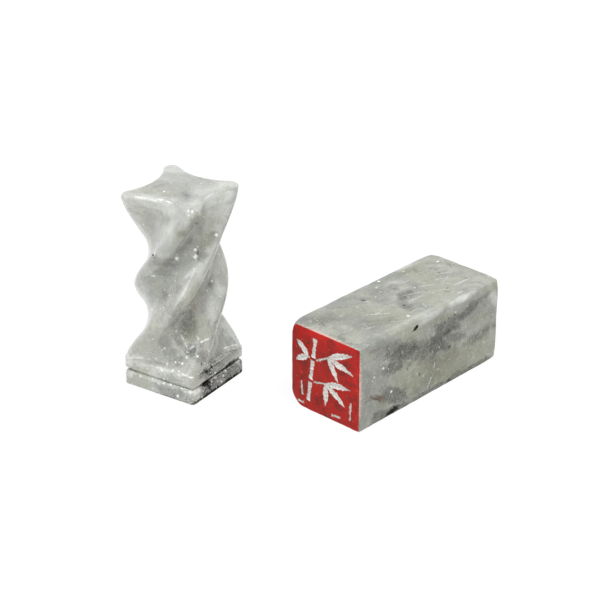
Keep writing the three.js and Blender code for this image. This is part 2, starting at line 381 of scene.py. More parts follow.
def crystals(tree, place, cell, limit, fray):
    """White crystals: one in some cells of this size, with a ragged outline."""
    cells = add_node(
        tree, "ShaderNodeTexVoronoi", inputs={"Vector": place, "Scale": 1 / cell, "Randomness": 1.0}
    )
    lot = add_node(tree, "ShaderNodeSeparateColor", inputs={"Color": cells["Color"]})[0]
    chosen = add_node(tree, "ShaderNodeMath", {"operation": "LESS_THAN"}, {0: lot, 1: limit})[0]
    ragged = add_node(
        tree, "ShaderNodeMath", TIMES_PLUS, {0: fray, 1: 0.2, 2: cells["Distance"]}
    )[0]
    inside = add_node(
        tree, "ShaderNodeMapRange", EASED, {"Value": ragged, "From Min": 0.25, "From Max": 0.19}
    )["Result"]
    return add_node(tree, "ShaderNodeMath", TIMES, {0: inside, 1: chosen})[0]


def bent_bedding(tree, place):
    """Place bent by slow swirls of 9 mm, by up to 3.5 mm, as the bedding of the marble is bent."""
    swirl = add_node(
        tree, "ShaderNodeTexNoise", inputs={"Vector": place, "Scale": 1 / 9, "Detail": 3.0}
    )["Color"]
    offset = add_node(
        tree, "ShaderNodeVectorMath", TIMES_PLUS, {0: swirl, 1: (7, 7, 7), 2: (-3.5, -3.5, -3.5)}
    )[0]
    return add_node(tree, "ShaderNodeVectorMath", PLUS, {0: place, 1: offset})[0]


def marble_ground(tree, place, bent, colours, finish):
    """Colour of the plain marble: grey and pale clouds, with freckles and veins of graphite."""
    grey = opaque(finish["grey"])
    dark = opaque(colours.dark)

    # Clouds 9 and 2.5 mm across, between grey and pale, with a slow olive tint of 13 mm
    clouds_and_shade = patches(tree, bent, 9, 0.34, 0.62, detail=5, roughness=0.55)
    ground = add_node(
        tree, "ShaderNodeMix", MIX_COLOURS, {SHARE: clouds_and_shade, BELOW: grey, ABOVE: opaque(finish["pale"])}
    )[MIXED]
    mottling = patches(tree, place, 2.5, 0.42, 0.7, detail=6, roughness=0.72, most=0.7)
    ground = add_node(
        tree, "ShaderNodeMix", MIX_COLOURS, {SHARE: mottling, BELOW: ground, ABOVE: grey}
    )[MIXED]
    warm = patches(tree, bent, 13, 0.46, 0.64, most=0.55)
    ground = add_node(
        tree, "ShaderNodeMix", MIX_COLOURS, {SHARE: warm, BELOW: ground, ABOVE: opaque(colours.olive)}
    )[MIXED]

    # Freckles of graphite 0.7 mm across, crowded together in patches of 7 mm
    crowded = patches(tree, bent, 7, 0.45, 0.65, detail=3)
    freckle = patches(tree, place, 0.7, 0.52, 0.7, detail=4, roughness=0.7, most=finish["freckles"])
    freckle = add_node(tree, "ShaderNodeMath", TIMES, {0: freckle, 1: crowded})[0]
    ground = add_node(
        tree, "ShaderNodeMix", MIX_COLOURS, {SHARE: freckle, BELOW: ground, ABOVE: dark}
    )[MIXED]

    # Thin wandering veins, where a noise of 12 mm crosses its middle value, broken by one of 5 mm
    slow = add_node(
        tree,
        "ShaderNodeTexNoise",
        inputs={"Vector": bent, "Scale": 1 / 12, "Detail": 4, "Roughness": 0.6},
    )["Fac"]
    past_middle = add_node(tree, "ShaderNodeMath", MINUS, {0: slow, 1: 0.5})[0]
    crossing = add_node(tree, "ShaderNodeMath", {"operation": "ABSOLUTE"}, {0: past_middle})[0]
    broken = patches(tree, place, 5, 0.5, 0.68)
    vein = add_node(
        tree,
        "ShaderNodeMapRange",
        EASED,
        {"Value": crossing, "From Min": 0.018, "From Max": 0, "To Max": finish["veins"]},
    )["Result"]
    vein = add_node(tree, "ShaderNodeMath", TIMES, {0: vein, 1: broken})[0]
    return add_node(
        tree, "ShaderNodeMix", MIX_COLOURS, {SHARE: vein, BELOW: ground, ABOVE: dark}
    )[MIXED]


def hollow_painted_shade(tree, place, axis):
    """Painted shade in the twisted stone's hollows, from 9.8 down to 7.4 mm off its axis."""
    off_axis = add_node(
        tree, "ShaderNodeVectorMath", TIMES_PLUS, {0: place, 1: (1, 1, 0), 2: (-axis.x, -axis.y, 0)}
    )[0]
    reach = add_node(tree, "ShaderNodeVectorMath", {"operation": "LENGTH"}, {0: off_axis})["Value"]
    return add_node(
        tree,
        "ShaderNodeMapRange",
        EASED,
        {"Value": reach, "From Min": 9.8, "From Max": 7.4, "To Max": 0.26},
    )["Result"]


def placed_tones_and_painted_light(tree, place, bent, ground, colours, finish, marks):
    """Ground under the placed patches, tints, clouds and stains, with painted highlights and painted
    shade among them, frayed by noise of 2.6 mm.
    """
    fraying = add_node(
        tree,
        "ShaderNodeTexNoise",
        inputs={"Vector": bent, "Scale": 1 / 2.6, "Detail": 6, "Roughness": 0.62},
    )["Fac"]
    smoke = patches(tree, place, 0.8, 0.35, 0.6, detail=4, roughness=0.6, least=0.75)
    # The pale marks hold painted highlights, and the olive and dark marks hold painted shade, besides
    # the stone's own marks
    placed = (
        ("pales_and_highlights", colours.milky, 0.9),
        ("tints_and_shade", colours.olive_stain, 0.9),
        ("clouds_and_shade", colours.dark, finish["fray"]),
        ("stains", colours.rust, finish["fray"]),
    )
    for kind, tint, fray in placed:
        rag = add_node(tree, "ShaderNodeMath", TIMES_PLUS, {0: fraying, 1: fray, 2: -fray / 2})[0]
        share = marked(tree, place, rag, marks[kind])
        share = add_node(tree, "ShaderNodeMath", TIMES, {0: share, 1: smoke})[0]
        ground = add_node(
            tree, "ShaderNodeMix", MIX_COLOURS, {SHARE: share, BELOW: ground, ABOVE: opaque(tint)}
        )[MIXED]
    return ground


def fine_grains(tree, place, ground, colours):
    """Ground under grains of 0.4 mm, some darker and some paler."""
    fine = add_node(
        tree,
        "ShaderNodeTexNoise",
        inputs={"Vector": place, "Scale": 1 / 0.4, "Detail": 3, "Roughness": 0.65},
    )["Fac"]
    for low, high, tint in ((0.52, 0.75, colours.dark), (0.45, 0.28, colours.milky)):
        share = add_node(
            tree,
            "ShaderNodeMapRange",
            EASED,
            {"Value": fine, "From Min": low, "From Max": high, "To Max": 0.3},
        )["Result"]
        ground = add_node(
            tree, "ShaderNodeMix", MIX_COLOURS, {SHARE: share, BELOW: ground, ABOVE: opaque(tint)}
        )[MIXED]
    return ground


def hairline_scratches(tree, place, rubbing):
    """Scratches about 6 mm long, at the slant that the stone was rubbed.

    Those that wet grit leaves are too thin to show, so they are drawn 0.15 mm wide.
    """
    slanted = add_node(
        tree, "ShaderNodeMapping", inputs={"Vector": place, "Rotation": rubbing}
    )["Vector"]
    stretched = add_node(
        tree, "ShaderNodeMapping", inputs={"Vector": slanted, "Scale": (1 / 6, 4, 4)}
    )["Vector"]
    hairs = add_node(
        tree,
        "ShaderNodeTexNoise",
        inputs={"Vector": stretched, "Scale": 1.0, "Detail": 3, "Roughness": 0.6},
    )["Fac"]
    rubbed = patches(tree, place, 6, 0.45, 0.6, detail=3)
    hairline = add_node(
        tree,
        "ShaderNodeMapRange",
        EASED,
        {"Value": hairs, "From Min": 0.6, "From Max": 0.72, "To Max": 0.5},
    )["Result"]
    return add_node(tree, "ShaderNodeMath", TIMES, {0: hairline, 1: rubbed})[0]


def marble(name, colours, finish, marks):
    """Grey veined marble. Finish gives its grounds, gloss, veins, crystals and relief."""
    material, tree = new_tree(name)
    place = millimetre_place(tree)
    bent = bent_bedding(tree, place)
    dark = opaque(colours.dark)
    milky = opaque(colours.milky)
    powder = opaque(colours.powder)

    ground = marble_ground(tree, place, bent, colours, finish)
    # The twisted seal's hollows are darkened with painted shade
    if "axis" in finish:
        dust = hollow_painted_shade(tree, place, finish["axis"])
        ground = add_node(
            tree, "ShaderNodeMix", MIX_COLOURS, {SHARE: dust, BELOW: ground, ABOVE: dark}
        )[MIXED]
    ground = placed_tones_and_painted_light(tree, place, bent, ground, colours, finish, marks)
    ground = fine_grains(tree, place, ground, colours)

    # Milky wisps 1.5 mm across, and the scratches
    wisps = patches(tree, bent, 1.5, 0.55, 0.72, detail=6, roughness=0.7, most=0.45)
    ground = add_node(
        tree, "ShaderNodeMix", MIX_COLOURS, {SHARE: wisps, BELOW: ground, ABOVE: milky}
    )[MIXED]
    hairline = hairline_scratches(tree, place, finish["rubbing"])
    ground = add_node(
        tree, "ShaderNodeMix", MIX_COLOURS, {SHARE: hairline, BELOW: ground, ABOVE: milky}
    )[MIXED]

    # White crystals in cells of 1.4 and 3 mm, crowded where the stone is rough at the bottom
    height = add_node(tree, "ShaderNodeSeparateXYZ", inputs={"Vector": place})["Z"]
    rough = add_node(
        tree,
        "ShaderNodeMapRange",
        EASED,
        {
            "Value": height,
            "From Min": finish["rough_height"],
            "From Max": 0.5 * finish["rough_height"],
            "To Max": 0.5,
        },
    )["Result"]
    limit = add_node(tree, "ShaderNodeMath", PLUS, {0: rough, 1: finish["crystal_share"]})[0]
    fray = add_node(tree, "ShaderNodeTexNoise", inputs={"Vector": place, "Scale": 1 / 0.3})["Fac"]
    small = crystals(tree, place, 1.4, limit, fray)
    large = crystals(tree, place, 3, limit, fray)
    crystal = add_node(tree, "ShaderNodeMath", HIGHEST, {0: small, 1: large})[0]
    ground = add_node(
        tree, "ShaderNodeMix", MIX_COLOURS, {SHARE: crystal, BELOW: ground, ABOVE: powder}
    )[MIXED]

    # Flecks of 0.45 mm left by rough grinding near the table, in patches of 2.5 mm
    crowded = patches(tree, place, 2.5, 0.42, 0.6, detail=3, most=1.4)
    flecks = patches(tree, place, 0.45, 0.54, 0.64, detail=3, roughness=0.65)
    flecks = add_node(tree, "ShaderNodeMath", TIMES, {0: flecks, 1: crowded})[0]
    flecks = add_node(tree, "ShaderNodeMath", TIMES, {0: flecks, 1: rough})[0]
    ground = add_node(
        tree, "ShaderNodeMix", MIX_COLOURS, {SHARE: flecks, BELOW: ground, ABOVE: powder}
    )[MIXED]
    crystal = add_node(tree, "ShaderNodeMath", HIGHEST, {0: crystal, 1: flecks})[0]

    # Placed specks, smears and chips, frayed by noise of 0.5 mm; the specks hold painted shade too, and
    # the chips painted highlights
    fine_rag = add_node(
        tree,
        "ShaderNodeTexNoise",
        inputs={"Vector": place, "Scale": 1 / 0.5, "Detail": 4, "Roughness": 0.6},
    )["Fac"]
    fine_rag = add_node(tree, "ShaderNodeMath", TIMES_PLUS, {0: fine_rag, 1: 2.2, 2: -1.1})[0]
    specks_and_shade = marked(tree, place, fine_rag, marks["specks_and_shade"])
    ground = add_node(
        tree, "ShaderNodeMix", MIX_COLOURS, {SHARE: specks_and_shade, BELOW: ground, ABOVE: opaque(colours.black)}
    )[MIXED]
    unmarked = add_node(tree, "ShaderNodeMath", MINUS, {0: 1.0, 1: specks_and_shade})[0]
    if "smears" in marks:
        smears = marked(tree, place, fine_rag, marks["smears"])
        pink = opaque(colours.pink)
        ground = add_node(
            tree, "ShaderNodeMix", MIX_COLOURS, {SHARE: smears, BELOW: ground, ABOVE: pink}
        )[MIXED]
    # Chips, with the painted highlights and glints among them
    chipped = marked(tree, place, fine_rag, marks["chips_and_highlights"])
    ground = add_node(
        tree, "ShaderNodeMix", MIX_COLOURS, {SHARE: chipped, BELOW: ground, ABOVE: powder}
    )[MIXED]
    crystal = add_node(tree, "ShaderNodeMath", HIGHEST, {0: crystal, 1: chipped})[0]

    # Rubbed by hand, so the gloss comes and goes over 4 mm; soot, crystals, chips and painted highlights
    # are matt
    glossiest = finish["roughness"] - 0.08
    dullest = finish["roughness"] + 0.12
    gloss = patches(
        tree, place, 4, 0.35, 0.65, detail=4, roughness=0.6, least=glossiest, most=dullest
    )
    roughness = add_node(tree, "ShaderNodeMath", TIMES_PLUS, {0: crystal, 1: 0.2, 2: gloss})[0]

    # Relief of 0.8 mm grains and flecks that stand out, with the scratches sunk in
    relief = add_node(
        tree,
        "ShaderNodeTexNoise",
        inputs={"Vector": place, "Scale": 1 / 0.8, "Detail": 4, "Roughness": 0.65},
    )["Fac"]
    relief = add_node(
        tree, "ShaderNodeMath", TIMES_PLUS, {0: relief, 1: finish["relief"], 2: flecks}
    )[0]
    relief = add_node(tree, "ShaderNodeMath", MINUS, {0: relief, 1: hairline})[0]
    bump = add_node(
        tree, "ShaderNodeBump", inputs={"Strength": 0.6, "Distance": 0.08 * MM, "Height": relief}
    )["Normal"]

    # Calcite's reflection and the wax, both gone where there is soot and where shade is painted dark
    specular = add_node(tree, "ShaderNodeMath", TIMES, {0: unmarked, 1: 0.5})[0]
    wax = add_node(tree, "ShaderNodeMath", TIMES, {0: unmarked, 1: finish["wax"]})[0]
    shader = add_node(
        tree,
        "ShaderNodeBsdfPrincipled",
        inputs={
            "Base Color": ground,
            "Roughness": roughness,
            "IOR": 1.5,
            "Normal": bump,
            "Specular IOR Level": specular,
            "Coat Weight": wax,
            "Coat Roughness": 0.1,
            "Subsurface Weight": finish["glow"],
            "Subsurface Radius": (1.0, 1.0, 0.92),
            "Subsurface Scale": 0.8 * MM,
        },
    )["BSDF"]
    add_node(tree, "ShaderNodeOutputMaterial", inputs={"Surface": shader})
    return material


def carved_marble(name, colours, maroon_dust_and_shade):
    """Freshly cut marble in the strokes: white, powdery and matt, with a little paint dust."""
    material, tree = new_tree(name)
    place = millimetre_place(tree)
    worn = patches(tree, place, 0.7, 0.45, 0.65, detail=4, roughness=0.7, most=0.25)
    ground = add_node(
        tree,
        "ShaderNodeMix",
        MIX_COLOURS,
        {SHARE: worn, BELOW: opaque(colours.powder), ABOVE: opaque(colours.grey)},
    )[MIXED]
    # Maroon paint dust; on the paint's broken edge there is more of it, as painted shade along the
    # strokes' rims
    dust = patches(tree, place, 0.45, 0.5, 0.66, detail=4, roughness=0.65, most=maroon_dust_and_shade)
    ground = add_node(
        tree, "ShaderNodeMix", MIX_COLOURS, {SHARE: dust, BELOW: ground, ABOVE: opaque(colours.maroon)}
    )[MIXED]
    relief = add_node(
        tree,
        "ShaderNodeTexNoise",
        inputs={"Vector": place, "Scale": 1 / 0.25, "Detail": 3, "Roughness": 0.7},
    )["Fac"]
    bump = add_node(
        tree, "ShaderNodeBump", inputs={"Strength": 0.8, "Distance": 0.06 * MM, "Height": relief}
    )["Normal"]
    shader = add_node(
        tree,
        "ShaderNodeBsdfPrincipled",
        inputs={"Base Color": ground, "Roughness": 0.85, "IOR": 1.5, "Normal": bump},
    )["BSDF"]
    add_node(tree, "ShaderNodeOutputMaterial", inputs={"Surface": shader})
    return material


def film_corner(side, height):
    """A corner of the paint film, in millimetres."""
    return Vector((FILM_LOW.x, side, height)) / MM


def thick_rims():
    """Where the paint lies thick and bright: along the upper and the right rims of the end."""
    upper_right = film_corner(FILM_LOW.y, FILM_HIGH.z)
    return [
        streak(upper_right, film_corner(FILM_HIGH.y, FILM_HIGH.z), 2.2, 0.8, 0.2),
        streak(upper_right, film_corner(FILM_LOW.y, 0), 2.2, 0.7, 0.2),
    ]


def rubbed_rim():
    """Where the paint is rubbed thin and dull: along the left rim of the end."""
    return [streak(film_corner(FILM_HIGH.y, 0), film_corner(FILM_HIGH.y, FILM_HIGH.z), 3, 0.35, 0.3)]


def brushed_seal_paint(name, colours):
    """Alkyd seal paint, brushed on and then rubbed flat: satin red, maroon where it is thin."""
    material, tree = new_tree(name)
    place = millimetre_place(tree)
    fresh = opaque(colours.fresh)
    maroon = opaque(colours.maroon)
    thin = patches(tree, place, 3, 0.47, 0.63, detail=6, roughness=0.72, most=0.85)
    rag = add_node(
        tree,
        "ShaderNodeTexNoise",
        inputs={"Vector": place, "Scale": 1 / 1.2, "Detail": 4, "Roughness": 0.65},
    )["Fac"]
    rag = add_node(tree, "ShaderNodeMath", TIMES_PLUS, {0: rag, 1: 2, 2: -1})[0]
    thick = marked(tree, place, rag, thick_rims())
    ground = add_node(
        tree, "ShaderNodeMix", MIX_COLOURS, {SHARE: thick, BELOW: opaque(colours.red), ABOVE: fresh}
    )[MIXED]
    rubbed = marked(tree, place, rag, rubbed_rim())
    ground = add_node(
        tree, "ShaderNodeMix", MIX_COLOURS, {SHARE: rubbed, BELOW: ground, ABOVE: maroon}
    )[MIXED]
    ground = add_node(
        tree, "ShaderNodeMix", MIX_COLOURS, {SHARE: thin, BELOW: ground, ABOVE: maroon}
    )[MIXED]

    # Pinholes where bubbles broke, one or none in each cell of 0.9 mm
    pin = add_node(
        tree, "ShaderNodeTexVoronoi", inputs={"Vector": place, "Scale": 1 / 0.9, "Randomness": 1.0}
    )["Distance"]
    pinhole = add_node(
        tree,
        "ShaderNodeMapRange",
        EASED,
        {"Value": pin, "From Min": 0.1, "From Max": 0.04, "To Max": 0.5},
    )["Result"]
    powder = opaque(colours.powder)
    ground = add_node(
        tree, "ShaderNodeMix", MIX_COLOURS, {SHARE: pinhole, BELOW: ground, ABOVE: powder}
    )[MIXED]

    # Brush marks across the end, 0.4 mm apart and nearly 3 mm long, on a fine unevenness
    stretch = add_node(
        tree, "ShaderNodeMapping", inputs={"Vector": place, "Scale": (1, 0.15, 1)}
    )["Vector"]
    brushing = add_node(
        tree, "ShaderNodeTexNoise", inputs={"Vector": stretch, "Scale": 1 / 0.4, "Detail": 3}
    )["Fac"]
    unevenness = add_node(
        tree, "ShaderNodeTexNoise", inputs={"Vector": place, "Scale": 1 / 0.3, "Detail": 2}
    )["Fac"]
    relief = add_node(tree, "ShaderNodeMath", PLUS, {0: brushing, 1: unevenness})[0]
    bump = add_node(
        tree, "ShaderNodeBump", inputs={"Strength": 0.4, "Distance": 0.03 * MM, "Height": relief}
    )["Normal"]
    roughness = add_node(
        tree, "ShaderNodeMapRange", EASED, {"Value": thin, "To Min": 0.42, "To Max": 0.6}
    )["Result"]
    shader = add_node(
        tree,
        "ShaderNodeBsdfPrincipled",
        inputs={
            "Base Color": ground,
            "Roughness": roughness,
            "IOR": 1.47,
            "Specular IOR Level": 0.22,
            "Normal": bump,
        },
    )["BSDF"]
    add_node(tree, "ShaderNodeOutputMaterial", inputs={"Surface": shader})
    return material


def smooth_through(values, share):
    """Value at a share of the way along a smooth curve through evenly spaced values."""
    last = len(values) - 1
    low = min(int(share * last), last - 1)
    t = share * last - low

    def slope(station):
        before = max(station - 1, 0)
        after = min(station + 1, last)
        return (values[after] - values[before]) / (after - before)

    return (
        (2 * t ** 3 - 3 * t ** 2 + 1) * values[low]
        + (t ** 3 - 2 * t ** 2 + t) * slope(low)
        + (3 * t ** 2 - 2 * t ** 3) * values[low + 1]
        + (t ** 3 - t ** 2) * slope(low + 1)
    )


def mix(first, second, share):
    """Value at a share of the way from the first to the second."""
    return first + (second - first) * share


def bell(value, middle, width):
    """1 where the value is at the middle, falling off to both sides over the width."""
    return math.exp(-((value - middle) / width) ** 2)


def eased(value, low, high):
    """Smooth step from 0 at low to 1 at high."""
    t = min(max((value - low) / (high - low), 0.0), 1.0)
    return t * t * (3 - 2 * t)


def star_ring(reaches, turns, hollow, radius):
    """One level outline of the twisted seal: four round ridges, with drawn-in sides between."""
    lean = 2 * math.atan(hollow * math.sqrt(2) / (sum(reaches) / 4))
    span = math.pi / 4 + lean

    def on_ridge(ridge, angle):
        middle = math.pi * (0.25 + 0.5 * ridge) + turns[ridge]
        centre = Vector((math.cos(middle), math.sin(middle))) * (reaches[ridge] - radius)
        return centre + Vector((math.cos(middle + angle), math.sin(middle + angle))) * radius

    ring = []
    for ridge in range(4):
        ring += [on_ridge(ridge, span * (2 * i / RIDGE_STEPS - 1)) for i in range(RIDGE_STEPS + 1)]
        start = on_ridge(ridge, span)
        along = on_ridge((ridge + 1) % 4, -span) - start
        inward = Vector((-along.y, along.x)) * math.tan(lean / 2) / 2
        for i in range(1, SIDE_STEPS):
            share = i / SIDE_STEPS
            ring.append(start + along * share + inward * (1 - (2 * share - 1) ** 2))
    return ring


def foot_ring(sizes, inset):
    """Outline of the foot, shrunk by inset all round."""
    reach = (sizes.foot_width / 2 - inset - sizes.foot_corner) * math.sqrt(2) + sizes.foot_corner
    return star_ring([reach] * 4, [0] * 4, 0, sizes.foot_corner)


def opening_lip(height, radius, steps):
    """A quarter round that comes out from inset radius to the full width: height and inset."""
    angles = [math.pi / 2 * i / steps for i in range(steps + 1)]
    return [(height + radius * (1 - math.cos(a)), radius * (1 - math.sin(a))) for a in angles]


def closing_lip(height, radius, steps):
    """A quarter round that goes in from the full width to inset radius: height and inset."""
    angles = [math.pi / 2 * i / steps for i in range(steps + 1)]
    return [(height + radius * math.sin(a), radius * (1 - math.cos(a))) for a in angles]


def foot_profile(sizes):
    """Heights of the foot's levels, each with how far the level is drawn in."""
    lip, lower_lip = sizes.groove_edge, sizes.lower_lip
    groove_low = sizes.groove_middle - sizes.groove_width / 2
    groove_high = groove_low + sizes.groove_width
    edge_steps, lip_steps = 4, 5
    profile = opening_lip(0, sizes.foot_edge, edge_steps)
    straight = 6
    low, high = sizes.foot_edge, groove_low - lower_lip
    profile += [(mix(low, high, i / straight), 0) for i in range(1, straight)]
    profile += closing_lip(groove_low - lower_lip, lower_lip, lip_steps)
    groove_steps = 7
    for i in range(1, groove_steps):
        share = i / groove_steps
        depth = mix(mix(lower_lip, lip, share), sizes.groove_depth, math.sin(math.pi * share) ** 0.6)
        profile.append((mix(groove_low, groove_high, share), depth))
    profile += opening_lip(groove_high, lip, lip_steps)
    low, high = groove_high + lip, sizes.foot_height - sizes.ledge_edge
    profile += [(mix(low, high, i / straight), 0) for i in range(1, straight + 1)]
    return profile


def groove_share(column, count):
    """How deep the hand-cut groove is: shallow on the left side and at the near corner, uneven."""
    around = (column - RIDGE_STEPS / 2) / count
    near_corner = bell(around, 0.5, 0.06)
    angle = 2 * math.pi * around
    uneven = noise.noise(Vector((math.cos(angle), math.sin(angle), 0.3)) * 4)
    left_side = bell(around, 0.38, 0.09)
    return 1 - 0.4 * near_corner - 0.35 * left_side + 0.2 * uneven


def column_rings(sizes):
    """Rings of the column at even heights, from the ledge to the top."""
    spring = foot_ring(sizes, 0)[RIDGE_STEPS // 2].length - sizes.ledge_inset
    ridges = [
        (sizes.back_turns, sizes.back_reaches),
        (sizes.left_turns, sizes.left_reaches),
        (sizes.near_turns, sizes.near_reaches),
        (sizes.right_turns, sizes.right_reaches),
    ]
    turns = [[0, *turn] for turn, _ in ridges]
    reaches = [[spring, *reach] for _, reach in ridges]
    shoulder = 0.6
    rings = []
    for level in range(COLUMN_LEVELS + 1):
        share = level / COLUMN_LEVELS
        above = max(0, (share - shoulder) / (1 - shoulder))
        rings.append(star_ring(
            [smooth_through(reach, share) for reach in reaches],
            [smooth_through(turn, share) for turn in turns],
            smooth_through(list(sizes.hollow_depths), share),
            mix(sizes.ridge_radius, sizes.tip_radius, above),
        ))
    return rings


def shrunk_ring(ring, inset):
    """A ring moved in by inset, square to its outline."""
    count = len(ring)
    result = []
    for i, point in enumerate(ring):
        along = ring[(i + 1) % count] - ring[i - 1]
        result.append(point + Vector((-along.y, along.x)).normalized() * inset)
    return result


def top_edge_radius(sizes, column, count):
    """Radius of the top's edge: crisp at the back tip, soft round the front tip."""
    past_tip = (column - RIDGE_STEPS / 2) / count
    soft = bell(past_tip, 0, 0.07) + bell(1 - past_tip, 0, 0.12)
    back_tip = bell(past_tip, 0.5, 0.06)
    return mix(sizes.top_edge * (1 - 0.4 * back_tip), sizes.front_tip_edge, soft)


def curve(start, control, end, share):
    """Value at a share of the way along a curve that is drawn towards its control value."""
    return mix(mix(start, control, share), mix(control, end, share), share)


def ledge_levels(sizes, outline, column_foot, bottom):
    """Levels from the upper plate's side, round its edge and over the ledge to the column."""
    lip_steps, ledge_steps = 5, 9
    edge_low = sizes.foot_height - sizes.ledge_edge
    # The ledge is nearly level out to the control point, and then rises to the column
    control_share = 0.8
    control_height = sizes.foot_height + 0.12 * MM
    widest_edge = 0.45
    lip_gap = 0.02 * MM
    levels = []
    for step in range(1, lip_steps + ledge_steps):
        level = []
        for rim, foot in zip(outline, column_foot):
            inward = foot - rim
            width = inward.length
            radius = min(sizes.ledge_edge, widest_edge * width)
            if step <= lip_steps:
                angle = math.pi / 2 * step / lip_steps
                inset = radius * (1 - math.cos(angle))
                height = edge_low + (sizes.ledge_edge - lip_gap) * math.sin(angle)
            else:
                share = (step - lip_steps) / ledge_steps
                inset = curve(radius, width * control_share, width, share)
                height = curve(sizes.foot_height, control_height, bottom, share)
            place = rim + inward.normalized() * inset
            level.append(Vector((place.x, place.y, height)))
        levels.append(level)
    return levels


def twisted_levels(sizes):
    """Level rings of the twisted seal's skin, from the middle of its sole to that of its top."""
    profile = foot_profile(sizes)
    sole = foot_ring(sizes, profile[0][1])
    sole_rings = 6
    levels = [[(p * i / sole_rings).to_3d() for p in sole] for i in range(sole_rings)]
    count = len(sole)
    outline = foot_ring(sizes, 0)
    groove_reach = sizes.groove_width / 2 + sizes.lower_lip
    # Where the groove is shallow its floor also rises, so that it looks cut by hand
    rise = 0.2 * MM
    for height, inset in profile:
        in_groove = abs(height - sizes.groove_middle) < groove_reach
        level = []
        for column, deep in enumerate(foot_ring(sizes, inset)):
            share = groove_share(column, count) if in_groove else 1
            point = outline[column].lerp(deep, share)
            stray = rise * (1 - share) if in_groove else 0
            level.append(Vector((point.x, point.y, height + stray)))
        levels.append(level)

    rings = column_rings(sizes)
    bottom = sizes.foot_height + sizes.ledge_rise
    levels += ledge_levels(sizes, outline, rings[0], bottom)

    radii = [top_edge_radius(sizes, column, count) for column in range(count)]
    for level, ring in enumerate(rings):
        share = level / COLUMN_LEVELS
        levels.append([
            Vector((p.x, p.y, mix(bottom, TWISTED_TOP - radii[column], share)))
            for column, p in enumerate(ring)
        ])
    # Round edge of the top; its inner ring is one metre in, so a share of the way is a length
    edge_steps = 7
    inner = shrunk_ring(rings[-1], 1)
    for step in range(1, edge_steps + 1):
        angle = math.pi / 2 * step / edge_steps
        level = []
        for column, point in enumerate(rings[-1]):
            radius = radii[column]
            moved = point.lerp(inner[column], radius * (1 - math.cos(angle)))
            level.append(Vector((moved.x, moved.y, TWISTED_TOP - radius * (1 - math.sin(angle)))))
        levels.append(level)
    edge = levels[-1]
    for step in range(1, TOP_LEVELS + 1):
        share = 1 - step / TOP_LEVELS
        levels.append([Vector((p.x * share, p.y * share, p.z)) for p in edge])
    return levels


def skin_over(levels):
    """Bends a flat grid round into a closed skin over level rings of points."""
    columns = len(levels[0])
    last = len(levels) - 1
    bm = bmesh.new()
    bmesh.ops.create_grid(bm, x_segments=columns, y_segments=last, size=1)
    for vertex in bm.verts:
        column = round((vertex.co.x + 1) / 2 * columns) % columns
        level = round((vertex.co.y + 1) / 2 * last)
        vertex.co = levels[level][column]
    same_place = 0.0001 * MM
    bmesh.ops.remove_doubles(bm, verts=bm.verts, dist=same_place)
    return bm


def rub_by_hand(bm, depth):
    """Moves a surface in and out by depth or less along its normals, as hand rubbing leaves it."""
    slow_length, quick_length = 7, 2.4
    elsewhere = Vector((31, 7, 11))
    bm.normal_update()
    moves = []
    for vertex in bm.verts:
        point = vertex.co / MM
        slow = noise.noise(point / slow_length)
        quick = noise.noise(point / quick_length + elsewhere)
        moves.append(vertex.normal * depth(vertex.co) * (slow + 0.4 * quick))
    for vertex, move in zip(bm.verts, moves):
        vertex.co += move


def shade_smooth(bm):
    """Shades faces smooth, and keeps sharp edges sharp."""
    for face in bm.faces:
        face.smooth = True
    for edge in bm.edges:
        edge.smooth = edge.calc_face_angle(0) < SHARP_ANGLE


def finish_piece(bm, name, materials):
    """Makes a bmesh an object with its normals pointing out and its faces shaded smooth."""
    bmesh.ops.recalc_face_normals(bm, faces=bm.faces)
    shade_smooth(bm)
    mesh = bpy.data.meshes.new(name)
    bm.to_mesh(mesh)
    bm.free()
    for material in materials:
        mesh.materials.append(material)
    piece = bpy.data.objects.new(name, mesh)
    bpy.context.scene.collection.objects.link(piece)
    return piece


def sole_middle():
    """Middle of the twisted seal's sole, where its axis stands on the table."""
    on_table = [v.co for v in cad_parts["twisted_seal"].data.vertices if v.co.z < 0.01 * MM]
    middle_x = (min(p.x for p in on_table) + max(p.x for p in on_table)) / 2
    middle_y = (min(p.y for p in on_table) + max(p.y for p in on_table)) / 2
    return Vector((middle_x, middle_y, 0))


def on_side(along, up):
    """A place on the block's near side: along it from the carved end, and up, in millimetres."""
    return Vector((STONE_LOW.x / MM + along, STONE_LOW.y / MM, up))


def on_top(along, across):
    """A place on the block's top: along it from the carved end, and across from the near side."""
    return Vector((STONE_LOW.x / MM + along, STONE_LOW.y / MM + across, STONE_HIGH.z / MM))


